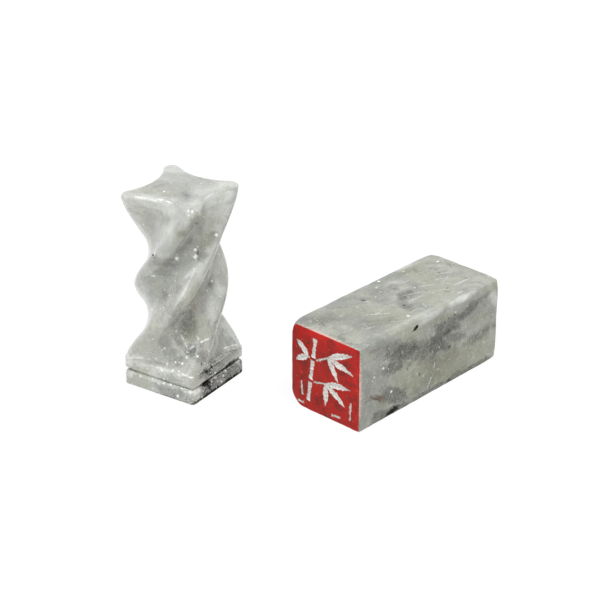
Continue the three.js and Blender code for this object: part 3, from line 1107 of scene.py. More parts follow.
def block_marks():
    """Marks on the block: a dark band runs slantwise along the near side as on the real stone, with
    painted highlights on the upper edges and painted shade at the table.
    """
    return {
        "pales_and_highlights": [
            # Pale stone with a painted highlight along the upper edges, and pale patches on the near
            # side and at the far end
            streak(on_top(4, 2), on_top(40, 1.2), 1.3, 0.35, 0),
            streak(on_side(17.5, 20), on_side(31, 21), 1.6, 0.6, 0.2),
            streak(on_side(30, 20.8), on_side(42, 21), 1.5, 0.8, 0.2),
            streak(on_side(15, 9), on_side(22, 8), 1.8, 0.4, 0),
            streak(on_side(46, 20.6), on_side(50, 13.5), 2, 0.65, 0.2),
            streak(on_top(36, 20.9), on_top(43, 20.9), 1.9, 0.75, 0.2),
            streak(on_top(30, 18), on_top(33, 16), 1.4, 0.4, 0),
        ],
        "clouds_and_shade": [
            # Band along the near side, from the carved end to the far upper corner
            streak(on_side(8, 18.4), on_side(15, 17), 3, 0.7, 0.2),
            streak(on_side(12, 16), on_side(20.5, 13.6), 3.8, 1, 0.3),
            streak(on_side(19, 12), on_side(27, 12.9), 3.4, 0.85, 0.3),
            streak(on_side(23, 13), on_side(34.5, 14.8), 2, 1, 0.4),
            streak(on_side(27, 15.6), on_side(36.7, 17), 1.9, 0.75, 0.2),
            streak(on_side(34, 15.4), on_side(42, 18), 1.8, 0.9, 0.3),
            streak(on_side(41, 17.6), on_side(48.4, 19), 1.6, 0.4, 0),
            streak(on_side(9.5, 13), on_side(16, 11.6), 2.6, 0.85, 0.4),
            streak(on_side(25, 13.4), on_side(29.4, 11), 2.8, 0.95, 0.6),
            streak(on_side(26.6, 16.6), on_side(35.4, 14), 2, 0.8, 0.6),
            streak(on_side(8, 16.8), on_side(19.5, 12.3), 2, 0.85, 0.5),
            streak(on_side(29.5, 13), on_side(38, 10.4), 1.7, 0.65, 0.4),
            blot(on_side(34, 14.4), 1.5, 0.8, 0.5),
            # Cells below it, and the second band towards the far end
            blot(on_side(25.5, 10.2), 4.4, 0.7, 0.1),
            streak(on_side(23.4, 13), on_side(32, 10.2), 2.6, 0.8, 0.4),
            streak(on_side(20, 3), on_side(31, 5.5), 3, 0.4, 0),
            streak(on_side(18, 8.4), on_side(38, 6.6), 4, 0.3, 0),
            # Painted shade along the edge on the table
            streak(on_side(4, 0.2), on_side(20, 0.2), 2, 0.8, 0.5),
            streak(on_side(18, 0.2), on_side(34, 0.2), 1.7, 0.8, 0.5),
            streak(on_side(32, 0.2), on_side(50, 0.2), 1.5, 0.8, 0.5),
            blot(on_side(15, 4), 3, 0.5, 0.3),
            streak(on_side(36, 8), on_side(50, 9.2), 2.2, 0.7, 0.2),
            # Low cloud near the carved end
            streak(on_side(9, 6.4), on_side(16, 3), 2.8, 0.8, 0.5),
            streak(on_side(7, 0.8), on_side(15.5, 1.2), 1.7, 1, 0.3),
            streak(on_side(4, 2.2), on_side(10, 1), 1.7, 0.75, 0.4),
            streak(on_side(32, 1.2), on_side(37, 1), 1.4, 0.6, 0.4),
            # Clouds on the top
            streak(on_top(1, 19.8), on_top(9.4, 12.9), 4.4, 0.55, 0),
            streak(on_top(22, 18.6), on_top(28.5, 13.5), 3.4, 0.5, 0),
            streak(on_top(28.8, 12.8), on_top(23.2, 6.9), 2.1, 0.75, 0.1),
            blot(on_top(28.9, 10.4), 2.6, 0.7, 0.3),
            blot(on_top(23.6, 7), 2.2, 0.6, 0.4),
            blot(on_top(28.6, 15), 2.6, 0.45, 0.2),
            streak(on_top(9, 8.5), on_top(17, 3.5), 3.4, 0.35, 0),
        ],
        "tints_and_shade": [
            # Olive low on the near side and beside the bands, and a little on the top
            streak(on_side(12, 7), on_side(42, 4.6), 5, 0.6, 0.5),
            streak(on_side(26, 3), on_side(44, 1.5), 3.4, 0.6, 0),
            streak(on_side(22, 6), on_side(34, 8.5), 3, 0.5, 0),
            streak(on_side(40, 4), on_side(49, 8), 2.6, 0.5, 0),
            streak(on_side(2, 5), on_side(14, 4), 3.2, 0.4, 0),
            streak(on_side(36, 12.5), on_side(48, 14), 2.2, 0.4, 0),
            streak(on_side(22, 19), on_side(36, 17.4), 2, 0.5, 0.2),
            streak(on_side(43, 19.6), on_side(50, 20), 1.6, 0.35, 0.2),
            streak(on_top(36, 19.4), on_top(47, 17.6), 2.2, 0.45, 0),
            streak(on_top(27, 7), on_top(36, 4), 2.4, 0.3, 0),
        ],
        "stains": [
            # Rust by the carved end, along the bands and across the top
            streak(on_side(3.2, 8), on_side(9, 5.2), 1, 1, 0.3),
            streak(on_side(3.2, 19.3), on_side(7, 19), 1, 0.6, -0.2),
            streak(on_side(38, 8.6), on_side(50, 9.4), 1.1, 0.5, -0.3),
            streak(on_side(41, 17.8), on_side(48, 19), 1, 0.5, -0.3),
            streak(on_top(17.5, 18.6), on_top(22, 14.2), 1.1, 0.5, -0.3),
            streak(on_top(44, 18.4), on_top(48.6, 14.6), 1.7, 0.5, -0.4),
            streak(on_top(34, 18.4), on_top(40, 18.2), 1.4, 0.35, -0.4),
        ],
        "specks_and_shade": [
            # Pits and soot on the near side, and then on the top
            streak(on_side(18.6, 19.4), on_side(20, 19.8), 0.65, 1, 0.5),
            blot(on_side(21.1, 6.7), 0.45, 0.9, 0.2),
            blot(on_side(16.6, 9.8), 0.35, 0.9, 0.2),
            blot(on_side(31.9, 9.8), 0.55, 0.9, 0.2),
            blot(on_side(26.9, 7.8), 0.35, 0.8, 0.2),
            blot(on_side(33.4, 17.7), 0.4, 0.9, 0.2),
            blot(on_side(31.2, 17.5), 0.35, 0.8, 0.2),
            streak(on_side(29, 13.6), on_side(33.8, 14.6), 0.5, 0.7, 0),
            streak(on_side(9.5, 0.6), on_side(13.8, 1.3), 1, 1, 0.4),
            streak(on_side(4, 7.2), on_side(7, 6), 0.35, 0.7, 0),
            streak(on_side(31.3, 0.6), on_side(32.8, 0.9), 0.45, 0.9, 0.2),
            streak(on_side(0.2, 7.2), on_side(5.4, 6.8), 0.2, 0.5, 0),
            blot(on_side(14.3, 4.7), 0.5, 0.7, 0),
            streak(on_top(18.8, 16.4), on_top(19.6, 15.4), 0.4, 0.9, 0.2),
            blot(on_top(23.7, 7.3), 0.7, 0.7, 0),
            blot(on_top(26.9, 9.7), 0.6, 0.5, 0),
            blot(on_top(42.6, 12.6), 0.45, 0.8, 0),
            blot(on_top(33.2, 8.6), 0.5, 0.7, 0),
        ],
        "chips_and_highlights": [
            # Chips and pale cracks on the near side
            blot(on_side(5, 12.4), 0.35),
            streak(on_side(23.7, 1.5), on_side(26.2, 4.9), 0.25, 0.7),
            streak(on_side(26.2, 6.2), on_side(26.8, 8.2), 0.3, 0.7),
            streak(on_side(36, 20.4), on_side(38.2, 20.9), 0.8, 0.8),
            # Scratches and chips on the top
            streak(on_top(12.7, 11.5), on_top(19.7, 6.3), 0.17, 0.9),
            streak(on_top(32.1, 11.9), on_top(38, 8.9), 0.17, 0.9),
            streak(on_top(39.6, 5.6), on_top(45.9, 5.2), 0.2, 1),
            streak(on_top(24.5, 7.9), on_top(31.2, 7.5), 0.17, 0.8),
            streak(on_top(37.9, 11.2), on_top(41.6, 9.7), 0.16, 0.8),
            streak(on_top(26, 11.2), on_top(34, 8.2), 0.16, 0.8),
            streak(on_top(14, 9.6), on_top(22, 8.8), 0.15, 0.8),
            streak(on_top(34, 7.4), on_top(39, 4.2), 0.16, 0.8),
            streak(on_top(30, 15.8), on_top(35.4, 14.8), 0.15, 0.7),
            streak(on_top(41, 12.6), on_top(46.5, 9.9), 0.15, 0.7),
            streak(on_top(6, 6.5), on_top(13, 5.1), 0.14, 0.7),
            streak(on_top(21, 4.2), on_top(27, 3.8), 0.14, 0.6),
            blot(on_top(37.2, 19.1), 0.5, 0.7),
            streak(on_top(36.6, 2.2), on_top(38.6, 2.1), 0.35),
        ],
        "smears": [
            # Paint dust rubbed into the bare rim round the carved end
            streak(on_side(0, 1), on_side(0.1, 20.4), 0.85, 1, 0.3),
            streak(on_top(0, 0.5), on_top(0.1, 20), 0.8, 0.9, 0.3),
        ],
    }


def from_axis(x, y, up):
    """A place on the twisted seal, x and y from its axis, in millimetres."""
    return sole_middle() / MM + Vector((x, y, up))


def twisted_marks():
    """Marks on the twisted seal: smudges and a blackened foot as on the real stone, painted shade in the
    grooves, and painted highlights on ridges and edges.
    """
    return {
        "pales_and_highlights": [
            # Painted light just below the top's front edge, and painted highlights on the front tip and
            # down the long ridge below it
            streak(from_axis(-9.8, 4.4, 48.2), from_axis(-6.8, -6.6, 48), 3, 0.75, 0.4),
            streak(from_axis(-8, -6.6, 46.4), from_axis(-9.6, -4.6, 41.8), 2.2, 0.5, 0),
            streak(from_axis(-9.6, 4, 44.5), from_axis(-9.4, -4, 41), 3.6, 0.35, 0),
            streak(from_axis(1.2, -9.9, 38.1), from_axis(-4.7, -8.5, 30.1), 1.6, 0.7, 0),
            streak(from_axis(-4.7, -8.5, 30.1), from_axis(-9.6, -5.2, 22.6), 1.6, 0.5, 0.1),
            streak(from_axis(5.3, -6.8, 27.4), from_axis(1, -9.2, 20), 1.5, 0.3, 0),
            streak(from_axis(1.4, -8.4, 24), from_axis(-0.3, -10.2, 18.6), 1.8, 0.5, 0),
            # Painted light below the top's right edge, and a painted reflection on the top beside it
            streak(from_axis(0.6, -8.4, 48), from_axis(8, -8.4, 48), 2, 0.85, 0.5),
            streak(from_axis(1.5, -5, 49.4), from_axis(8, -7, 49.4), 3, 0.5, 0),
            # High in the near groove
            streak(from_axis(-2.8, -7.6, 41.5), from_axis(-2.2, -7.8, 39.8), 1.6, 0.4, 0.1),
            # Near corner of the top, and painted light below its far left edge
            blot(from_axis(-5.9, -4, 49.3), 2.4, 0.5, 0.2),
            streak(from_axis(-8.2, 2.5, 46), from_axis(-7.4, -1, 45.6), 2.2, 0.45, 0),
            # Frosted ledge and frosted edges of the two plates, with painted highlights along their rims
            streak(from_axis(-11.2, 5.5, 6.8), from_axis(-9.9, 1.2, 7), 1.6, 0.85, 0.4),
            streak(from_axis(-11.2, 6.5, 7.6), from_axis(-9.2, -5, 7.5), 1.4, 0.8, 0.2),
            blot(from_axis(-10.6, 3.4, 7.8), 2.2, 0.9, 0.3),
            blot(from_axis(-11.5, 6.8, 6.6), 2.2, 0.9, 0.5),
            blot(from_axis(-11.4, 6.6, 3), 1.6, 0.7, 0.3),
            streak(from_axis(-11.3, 7, 3.3), from_axis(-8.2, -11, 3.3), 0.7, 0.7, -0.1),
            streak(from_axis(-5.4, -10.9, 3.2), from_axis(-8, -11.4, 3.4), 1.2, 0.8, 0),
            streak(from_axis(4.5, -8.3, 8.2), from_axis(10, -8.4, 8), 0.8, 0.7, 0),
        ],
        "tints_and_shade": [
            # Painted olive shade down the near ridge and in the grooves, and an olive tint on the top
            streak(from_axis(-5.1, -11.6, 48.4), from_axis(-8.7, -7.4, 40.6), 2.4, 0.85, 0.1),
            streak(from_axis(1.4, -9, 41.4), from_axis(-2.4, -7.9, 36), 3.4, 0.55, 0),
            streak(from_axis(-1, -8.6, 44), from_axis(4, -9.2, 42), 3, 0.5, 0),
            streak(from_axis(2, -8.3, 47.6), from_axis(7.6, -8.4, 47.6), 1.4, 0.4, 0),
            streak(from_axis(2, -5, 49.4), from_axis(9, -7.5, 49.2), 3, 0.2, 0.2),
            streak(from_axis(-4, -7, 40), from_axis(-8, -5, 35), 2.6, 0.5, 0),
            streak(from_axis(-8.5, 1, 30), from_axis(-8, -3, 24), 2.4, 0.4, 0),
            streak(from_axis(-3, -8.5, 22), from_axis(-7.5, -6.4, 13), 3.4, 0.6, 0),
        ],
        "clouds_and_shade": [
            # Smudges on the top, and painted shade down the ridges and in the grooves
            streak(from_axis(-1.3, -2.7, 49.4), from_axis(-2.5, -6.3, 49.4), 1.6, 0.8, 0),
            streak(from_axis(0.3, 3.9, 49.4), from_axis(-4.9, 4.4, 49.4), 1.2, 0.5, -0.2),
            blot(from_axis(-2.9, -8.4, 44.2), 1.1, 0.5, -0.3),
            streak(from_axis(-4.1, -6.9, 40.5), from_axis(-7, -6, 36.9), 3, 0.42, 0),
            streak(from_axis(-8.8, -2.3, 33.2), from_axis(-8, -3.4, 29.5), 3, 0.4, 0),
            blot(from_axis(2.1, -7.4, 26.4), 1.6, 0.6, 0),
            streak(from_axis(-7.8, -2.2, 27.2), from_axis(-7.8, -3.2, 22.2), 3, 0.4, 0),
            streak(from_axis(-4, -7.8, 24), from_axis(-7.3, -6.4, 15), 4, 0.8, 0.1),
            streak(from_axis(-1, -8, 41.5), from_axis(-6, -6.2, 37.6), 2.2, 0.35, 0),
            streak(from_axis(-5.3, -11.4, 47.8), from_axis(-8.3, -8.3, 42), 2.2, 0.4, 0),
            streak(from_axis(1.8, -9.5, 40), from_axis(-3.7, -7, 35), 2.6, 0.3, 0),
            blot(from_axis(-10.4, -1.2, 34.8), 2.2, 0.45, 0),
            blot(from_axis(1.6, -9.4, 39.6), 1.8, 0.5, 0.3),
            streak(from_axis(-9.6, -4.7, 36.4), from_axis(-6.9, -4.3, 33.4), 2.2, 0.5, 0.4),
            streak(from_axis(-2.8, -8, 35), from_axis(-1.2, -9.3, 35.5), 1.8, 0.5, 0.4),
            # Painted shade on the sides of the left lobe, in the low hollow and on the farther right
            # lobe
            streak(from_axis(-10.4, 3.8, 28.4), from_axis(-8.6, 6, 22.8), 2.2, 0.45, 0),
            streak(from_axis(-10.9, -1, 19), from_axis(-9.8, 2.8, 23), 2, 0.5, 0),
            streak(from_axis(-8.8, -2.2, 24.4), from_axis(-9.6, -5.2, 17.6), 3.6, 0.3, 0.1),
            streak(from_axis(6.6, -6.5, 29.4), from_axis(5.4, -9, 23.6), 1.9, 0.35, 0),
            # Grey skirt above the ledge
            streak(from_axis(-8.8, -2.5, 12), from_axis(-7.4, -8, 9.4), 3, 0.5, 0),
            blot(from_axis(-5.7, -9, 12.8), 2.6, 0.8, 0.3),
            streak(from_axis(-4.6, -10.4, 13.6), from_axis(-4.8, -11.4, 10.4), 2.2, 0.6, 0.3),
            blot(from_axis(8, -7.8, 9.2), 2.6, 0.4, 0.2),
            # Painted shade between the ridges
            streak(from_axis(-4, -6.6, 35.6), from_axis(-4.4, -7.6, 30.8), 2.2, 0.15, 0.3),
            blot(from_axis(-10.3, -3, 35.4), 2.2, 0.5, 0.4),
            streak(from_axis(-7.5, -6, 26.6), from_axis(-8.7, -6, 16), 2.8, 0.45, 0.5),
            streak(from_axis(-9.4, -3.6, 16), from_axis(-9, -3.2, 12), 2.4, 0.4, 0.3),
            # Dark near side of the foot, with painted shade along its groove
            streak(from_axis(-4.2, -11.2, 7.8), from_axis(9.6, -8.7, 6.2), 2.8, 0.5, 0.3),
            streak(from_axis(-4.2, -10.8, 6), from_axis(-0.6, -10.3, 5), 2, 1, 0.1),
            streak(from_axis(-4.2, -10.9, 6.6), from_axis(3.2, -9.7, 5.6), 2.6, 0.9, 0.5),
            blot(from_axis(-1, -10.3, 6.4), 2, 0.85, 0.6),
            streak(from_axis(-3.6, -10.8, 1.8), from_axis(4.4, -9.5, 1.8), 3, 1, 0.7),
            streak(from_axis(3, -9.8, 1.8), from_axis(11, -8.5, 2), 3, 0.9, 0.7),
            streak(from_axis(-3.6, -10.8, 3.9), from_axis(11, -8.2, 3.9), 1.5, 0.85, 0.4),
            # Dull side of the lower plate
            streak(from_axis(-10.1, -2, 1.4), from_axis(-8.5, -10.4, 1.4), 2.6, 0.45, 0.5),
            blot(from_axis(-9.2, -7, 1.8), 2.8, 0.6, 0.4),
            streak(from_axis(-9.8, -3, 4.6), from_axis(-8.9, -9, 4.6), 2.4, 0.42, 0.4),
        ],
        "stains": [
            # Rust below the front tip and in the near groove
            blot(from_axis(-8.2, 5.7, 44.1), 1.3, 0.55, -0.3),
            blot(from_axis(1.6, -9.3, 40.5), 1.4, 0.45, -0.3),
            blot(from_axis(0.4, -9.1, 38.8), 1, 0.35, -0.3),
            # Brown line down the near corner of the upper plate, and a brown haze beside it
            streak(from_axis(-5.5, -11.3, 9), from_axis(-5.3, -11, 4.2), 0.55, 0.8, 0.2),
            streak(from_axis(-4.4, -10.9, 5.6), from_axis(2, -9.9, 1.6), 2, 0.4, -0.2),
        ],
        "specks_and_shade": [
            # Pits in the ridges and grooves
            streak(from_axis(-10.2, -0.6, 36.6), from_axis(-10, -1.8, 36.3), 0.5, 1, 0.4),
            streak(from_axis(-2.1, -7.8, 36.7), from_axis(-2.2, -7.8, 35.7), 0.4, 1, 0.3),
            blot(from_axis(-3, -7.6, 37.9), 0.4, 0.9, 0.2),
            blot(from_axis(-2.6, -8.4, 43.9), 0.45, 0.9, 0.2),
            blot(from_axis(2.1, -7.3, 26.6), 0.45, 0.7, 0),
            # Cracks by the foot's near corner, and painted shade in the groove and along the lower edge
            streak(from_axis(-2, -10.6, 6.6), from_axis(-1.5, -10.5, 5.2), 0.65, 1, 0.4),
            blot(from_axis(-0.9, -10.3, 7), 0.6, 1, 0.3),
            streak(from_axis(-5.2, -11.4, 10.8), from_axis(-5.5, -11.6, 9.7), 0.22, 0.8, 0.2),
            streak(from_axis(-3.5, -10.8, 7.3), from_axis(-2.7, -10.7, 6.2), 0.8, 1, 0.2),
            streak(from_axis(-4.6, -10.8, 4), from_axis(-1.8, -10.4, 3.6), 1.1, 1, 0.5),
            streak(from_axis(-4, -10.9, 2.6), from_axis(0, -10.2, 2.2), 1.7, 0.5, 0),
            streak(from_axis(1, -10, 1.6), from_axis(9, -8.9, 1.6), 2, 0.2, 0),
            streak(from_axis(-3.3, -10.7, 3.5), from_axis(-1.2, -10.5, 1.2), 0.9, 1, 0.2),
            streak(from_axis(4.4, -9.2, 4.4), from_axis(9.4, -8.4, 4.4), 1, 1, 0.5),
            streak(from_axis(-1, -10.2, 4.2), from_axis(10, -8, 4), 0.8, 0.7, 0),
            streak(from_axis(-5.8, -11.3, 0.1), from_axis(3, -9.9, 0.1), 1.2, 1, 0.7),
            streak(from_axis(2, -10, 0.1), from_axis(11.6, -8.4, 0.1), 1.2, 1, 0.7),
            streak(from_axis(-8.4, -11.4, 0.1), from_axis(-5.5, -11.2, 0.1), 1.1, 0.9, 0.6),
            streak(from_axis(-10.6, 2, 0), from_axis(-8.2, -11.3, 0), 0.7, 0.6, 0.3),
        ],
        "chips_and_highlights": [
            # White crystals beside the pits, and single ones elsewhere
            blot(from_axis(-10.3, -1.9, 37.1), 0.6, 1, 0.3),
            blot(from_axis(-6.4, -5.3, 35.4), 0.75, 1, 0.3),
            blot(from_axis(-2.8, -7.7, 35.4), 0.65, 1, 0.3),
            blot(from_axis(-2.6, -7.6, 37.1), 0.5, 1, 0.3),
            blot(from_axis(-2.9, -8.4, 44.6), 0.35),
            blot(from_axis(-7.6, -2.9, 45.3), 0.3),
            blot(from_axis(2, -9.8, 39.8), 0.55, 1, 0.2),
            blot(from_axis(7.8, -4.5, 31.2), 0.4),
            blot(from_axis(-9.5, -0.7, 30.7), 0.7, 1, 0.3),
            blot(from_axis(-8.2, 2.6, 25.3), 0.3),
            blot(from_axis(-8.1, 1.6, 20.6), 0.6, 1, 0.3),
            blot(from_axis(2.8, -7.1, 27.1), 0.35),
            # Painted highlight along the ledge's rim, and white flecks with painted glints along the
            # rims of the ledge and the groove
            streak(from_axis(-11.4, 6.6, 7.3), from_axis(-11.4, 4.7, 8.1), 0.4, 1, 0.4),
            streak(from_axis(-11.4, 4.7, 8.1), from_axis(-10.4, 2.6, 8.3), 0.45, 1, 0.5),
            streak(from_axis(-10.4, 2.6, 8.3), from_axis(-9.2, 0.6, 7.8), 0.4, 1, 0.3),
            *frost_and_glints(from_axis(-10.5, 2.2, 7.1), from_axis(-8.7, -8.8, 7.5), 18, 0.4, 0.6),
            *frost_and_glints(from_axis(-11.3, 6.4, 3.3), from_axis(-8.2, -11, 3.4), 18, 0.34, 0.5),
            *frost_and_glints(from_axis(-7.9, -11.5, 3.1), from_axis(-5, -11.2, 3.2), 5, 0.5, 0.4),
            *frost_and_glints(from_axis(-2.4, -10.6, 5.2), from_axis(7, -9, 4.9), 8, 0.32, 1),
            # Painted highlight along the top's front edge
            streak(from_axis(-10.5, 4.9, 49.1), from_axis(-8.5, 1.1, 49), 0.34, 1, 0.3),
            streak(from_axis(-8.5, 1.1, 49), from_axis(-7.6, -0.8, 48.9), 0.28, 1, 0.3),
            # Painted highlight along the ledge's rim at its near corner and on its near side
            streak(from_axis(-9, -8.4, 7.7), from_axis(-8.7, -10.3, 7.5), 0.36, 1, 0.3),
            streak(from_axis(-8.6, -10.5, 7.4), from_axis(-7.9, -11.3, 7.3), 0.36, 1, 0.3),
            streak(from_axis(5.1, -8, 8.6), from_axis(7.3, -8.1, 8.5), 0.3, 1, 0.3),
            streak(from_axis(7.3, -8.1, 8.5), from_axis(9.6, -8.5, 8.2), 0.3, 0.9, 0.2),
            # White chips and painted glints above the ledge and on the near side of the foot
            blot(from_axis(-8, -5.5, 9.2), 0.45, 1, 0.3),
            blot(from_axis(-7.6, -7.5, 9.5), 0.45, 1, 0.3),
            blot(from_axis(-7.7, -6.6, 9.5), 0.35),
            blot(from_axis(-6.8, -8.1, 11), 0.45, 1, 0.3),
            blot(from_axis(-5.6, -10.5, 11.7), 0.4, 1, 0.3),
            blot(from_axis(-8.9, -2.9, 12.3), 0.45, 1, 0.3),
            blot(from_axis(-6.3, -7.9, 12.1), 0.35),
            blot(from_axis(-1.7, -10.5, 5.8), 0.35, 1, 0.3),
            blot(from_axis(4.6, -9.4, 3.4), 0.4, 1, 0.2),
            blot(from_axis(3.5, -9.7, 2.6), 0.45, 1, 0.3),
            blot(from_axis(-1.1, -10.4, 3.2), 0.35, 1, 0.2),
            blot(from_axis(0.2, -10.1, 4.9), 0.4, 1, 0.2),
            blot(from_axis(2.7, -9.8, 1.4), 0.45, 1, 0.2),
            blot(from_axis(-1.6, -9.6, 7.9), 0.6, 1, 0.3),
            # Scratches that fan out above the ledge
            streak(from_axis(-6.7, -6.2, 16.3), from_axis(-6.1, -6.8, 14.5), 0.24, 0.9, 0.2),
            streak(from_axis(-6.1, -6.8, 14.5), from_axis(-6.1, -7.8, 12.7), 0.24, 0.9, 0.2),
            streak(from_axis(-4.1, -8.8, 16), from_axis(-4.1, -9.5, 14.9), 0.3, 0.8, 0.2),
            streak(from_axis(-4.1, -10, 14.6), from_axis(-3.3, -10.6, 15), 0.35, 1, 0.3),
            streak(from_axis(-3.3, -10.6, 15), from_axis(-2.1, -11, 15.2), 0.35, 1, 0.3),
            streak(from_axis(-5.9, -8.2, 12.8), from_axis(-5.1, -9, 13.8), 0.22, 0.8, 0.2),
            streak(from_axis(-3.2, -11.4, 12.9), from_axis(-2.7, -11.5, 12.2), 0.3, 0.8, 0.2),
            streak(from_axis(0.4, -8.9, 8.7), from_axis(2.2, -8.8, 8.4), 0.26, 0.9, 0.2),
            streak(from_axis(2.2, -8.8, 8.4), from_axis(4, -8.7, 7.6), 0.26, 0.9, 0.2),
            streak(from_axis(-7.9, -4.6, 13.3), from_axis(-7.6, -5.3, 12), 0.2, 0.8, 0.2),
            streak(from_axis(-7.6, -5.3, 12), from_axis(-7.4, -6, 10.7), 0.2, 0.8, 0.2),
        ],
    }


class SEALS_OT_twisted_stone(bpy.types.Operator):
    """Carve the twisted seal"""

    bl_idname = "seals.twisted_stone"
    bl_label = "Twisted seal"

    def execute(self, context):
        sizes = context.scene.twisted_seal_sizes
        bm = skin_over(twisted_levels(sizes))

        def depth(point):
            off_sole = eased(point.z, 0.1 * MM, 0.8 * MM)
            off_top = 1 - 0.7 * eased(point.z, TWISTED_TOP - 1.5 * MM, TWISTED_TOP - 0.5 * MM)
            return sizes.wobble * off_sole * off_top

        rub_by_hand(bm, depth)
        place = Matrix.Translation(sole_middle()) @ Matrix.Rotation(sizes.turn, 4, "Z")
        bmesh.ops.transform(bm, matrix=place, verts=bm.verts)
        colours = context.scene.seal_colours
        # Marble that was carved, rubbed with fine wet grit and waxed. That gives a smooth sheen
        # with crisp highlights, and a little depth under it, so the veins show strongly
        finish = {
            "pale": colours.pale,
            "grey": colours.grey,
            "roughness": 0.22,
            "veins": 0.35,
            "freckles": 0.3,
            "crystal_share": 0.2,
            "rough_height": 15,
            "rubbing": (0, math.radians(50), 0),
            "relief": 0.4,
            "glow": 0.12,
            "wax": 0.8,
            "fray": 1.6,
            "axis": sole_middle() / MM,
        }
        stone = marble("Polished grey marble", colours, finish, twisted_marks())
        piece = finish_piece(bm, "twisted_marble_stone", [stone])
        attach(piece, "twisted")
        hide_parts("twisted_seal")
        return {"FINISHED"}


class Stroke(NamedTuple):
    """A carved stroke on the end: its half width at the start, middle and end of its curve."""

    start: Vector
    end: Vector
    half_widths: tuple
    bow: float = 0.0
    widest: float = 0.5


def on_face(across, up):
    """A place on the carved end as shares of its width and height, from the lower left."""
    return Vector((
        (across - 0.5) * (STONE_HIGH.y - STONE_LOW.y),
        up * STONE_HIGH.z,
    ))


def branch(sizes, joint, side, twig_end, tips):
    """A twig that starts clear of the stem and the leaves at its end. Side 1 is to the right."""
    start = joint + Vector((side * (sizes.stem_width / 2 + sizes.stroke_gap), 0))
    inside = twig_end - (twig_end - start).normalized() * sizes.twig_width
    half = sizes.twig_width / 2
    leaves = [Stroke(inside, tip, (0, sizes.leaf_width, 0), side * sizes.leaf_bow, 0.42) for tip in tips]
    return [Stroke(start, twig_end, (half, half, half)), *leaves]


def carved_strokes(sizes):
    """A sprig of bamboo: a jointed stem, two twigs to the right, one to the left, and ground."""
    foot = on_face(0.25, 0.1)
    crown = on_face(0.36, 0.93)
    half_gap = sizes.joint_gap / 2 / (crown - foot).length
    half_stem = sizes.stem_width / 2
    waist = sizes.stem_waist - half_stem
    strokes = []
    for i in range(3):
        start = foot.lerp(crown, i / 3 + half_gap)
        end = foot.lerp(crown, (i + 1) / 3 - half_gap)
        strokes.append(Stroke(start, end, (half_stem, waist, half_stem)))
    low_joint = foot.lerp(crown, 1 / 3)
    high_joint = foot.lerp(crown, 2 / 3)
    high_tips = [on_face(0.89, 0.89), on_face(0.91, 0.66), on_face(0.69, 0.5)]
    low_tips = [on_face(0.87, 0.47), on_face(0.79, 0.24), on_face(0.51, 0.15)]
    left_tips = [on_face(0.08, 0.82), on_face(0.07, 0.57)]
    strokes += branch(sizes, high_joint, 1, on_face(0.55, 0.75), high_tips)
    strokes += branch(sizes, low_joint, 1, on_face(0.52, 0.42), low_tips)
    strokes += branch(sizes, high_joint, -1, on_face(0.24, 0.665), left_tips)
    dash = sizes.dash_width / 2
    thin = sizes.twig_width / 2
    strokes.append(Stroke(on_face(0.17, 0.16), on_face(0.15, 0.33), (dash, dash, thin)))
    strokes.append(Stroke(on_face(0.87, 0.1), on_face(0.88, 0.32), (dash, dash, thin)))
    strokes.append(Stroke(on_face(0.1, 0.075), on_face(0.19, 0.065), (dash, dash, dash)))
    strokes.append(Stroke(on_face(0.6, 0.07), on_face(0.73, 0.085), (dash, dash, dash)))
    return strokes


def stroke_depth(sizes, half):
    """Depth of a stroke of this half width: thin strokes are shallow."""
    return min(sizes.carving_depth, 0.22 * MM + 0.62 * half)


def stroke_cutter(bm, stroke, face_x, sizes, wider, seed):
    """Adds the solid that one stroke takes out of the end: ragged sides, sloping to a rough floor."""
    step = 0.13 * MM
    across_steps = 8
    outside = 0.5 * MM
    least_half = 0.09 * MM
    least_depth = 0.12 * MM
    fully_ragged_half = 0.25 * MM
    rag_length = 0.55
    floor_share, mouth_share = 0.72, 1.15

    span = stroke.end - stroke.start
    along_steps = max(4, round(span.length / step))
    bmesh.ops.create_grid(bm, x_segments=along_steps, y_segments=across_steps, size=1)
    extruded = bmesh.ops.extrude_face_region(bm, geom=list(bm.faces))
    for item in extruded["geom"]:
        if isinstance(item, bmesh.types.BMVert):
            item.co.z = -1
    aside_unit = Vector((-span.y, span.x)).normalized()
    middle_y = (STONE_LOW.y + STONE_HIGH.y) / 2
    start_half, middle_half, end_half = stroke.half_widths
    for vertex in bm.verts:
        u = (vertex.co.x + 1) / 2
        across = vertex.co.y
        is_floor = vertex.co.z < -0.5
        first, second, third = (1 - u) ** 2, 2 * u * (1 - u), u ** 2
        half = first * start_half + second * middle_half + third * end_half
        half = max(half, least_half) + wider
        # Each side of each stroke reads the noise at a place of its own
        reach = Vector((u * span.length / MM / rag_length, seed * 9.7 + (17 if across > 0 else 0)))
        rag = noise.noise(reach.to_3d()) + 0.8 * noise.noise((reach * 2.7).to_3d())
        edge = half + sizes.raggedness * rag * min(1, half / fully_ragged_half)
        if is_floor:
            # Shallower at the stroke's ends and sides, and chipped at two scales
            depth = stroke_depth(sizes, half)
            depth *= 0.35 + 0.65 * eased(u, -0.02, 0.08) * eased(1 - u, -0.02, 0.08)
            depth *= 1 - 0.55 * across ** 2
            place = Vector((u * span.length / MM, across * half / MM, seed))
            depth += 0.12 * MM * noise.noise(place * 1.8) + 0.06 * MM * noise.noise(place * 4.5)
            edge *= floor_share
            run = max(depth, least_depth)
        else:
            edge *= mouth_share
            run = -outside
        flow = stroke.bow * second + across * edge
        point = stroke.start + span * (second * stroke.widest + third) + aside_unit * flow
        vertex.co = Vector((face_x + run, middle_y - point.x, point.y))


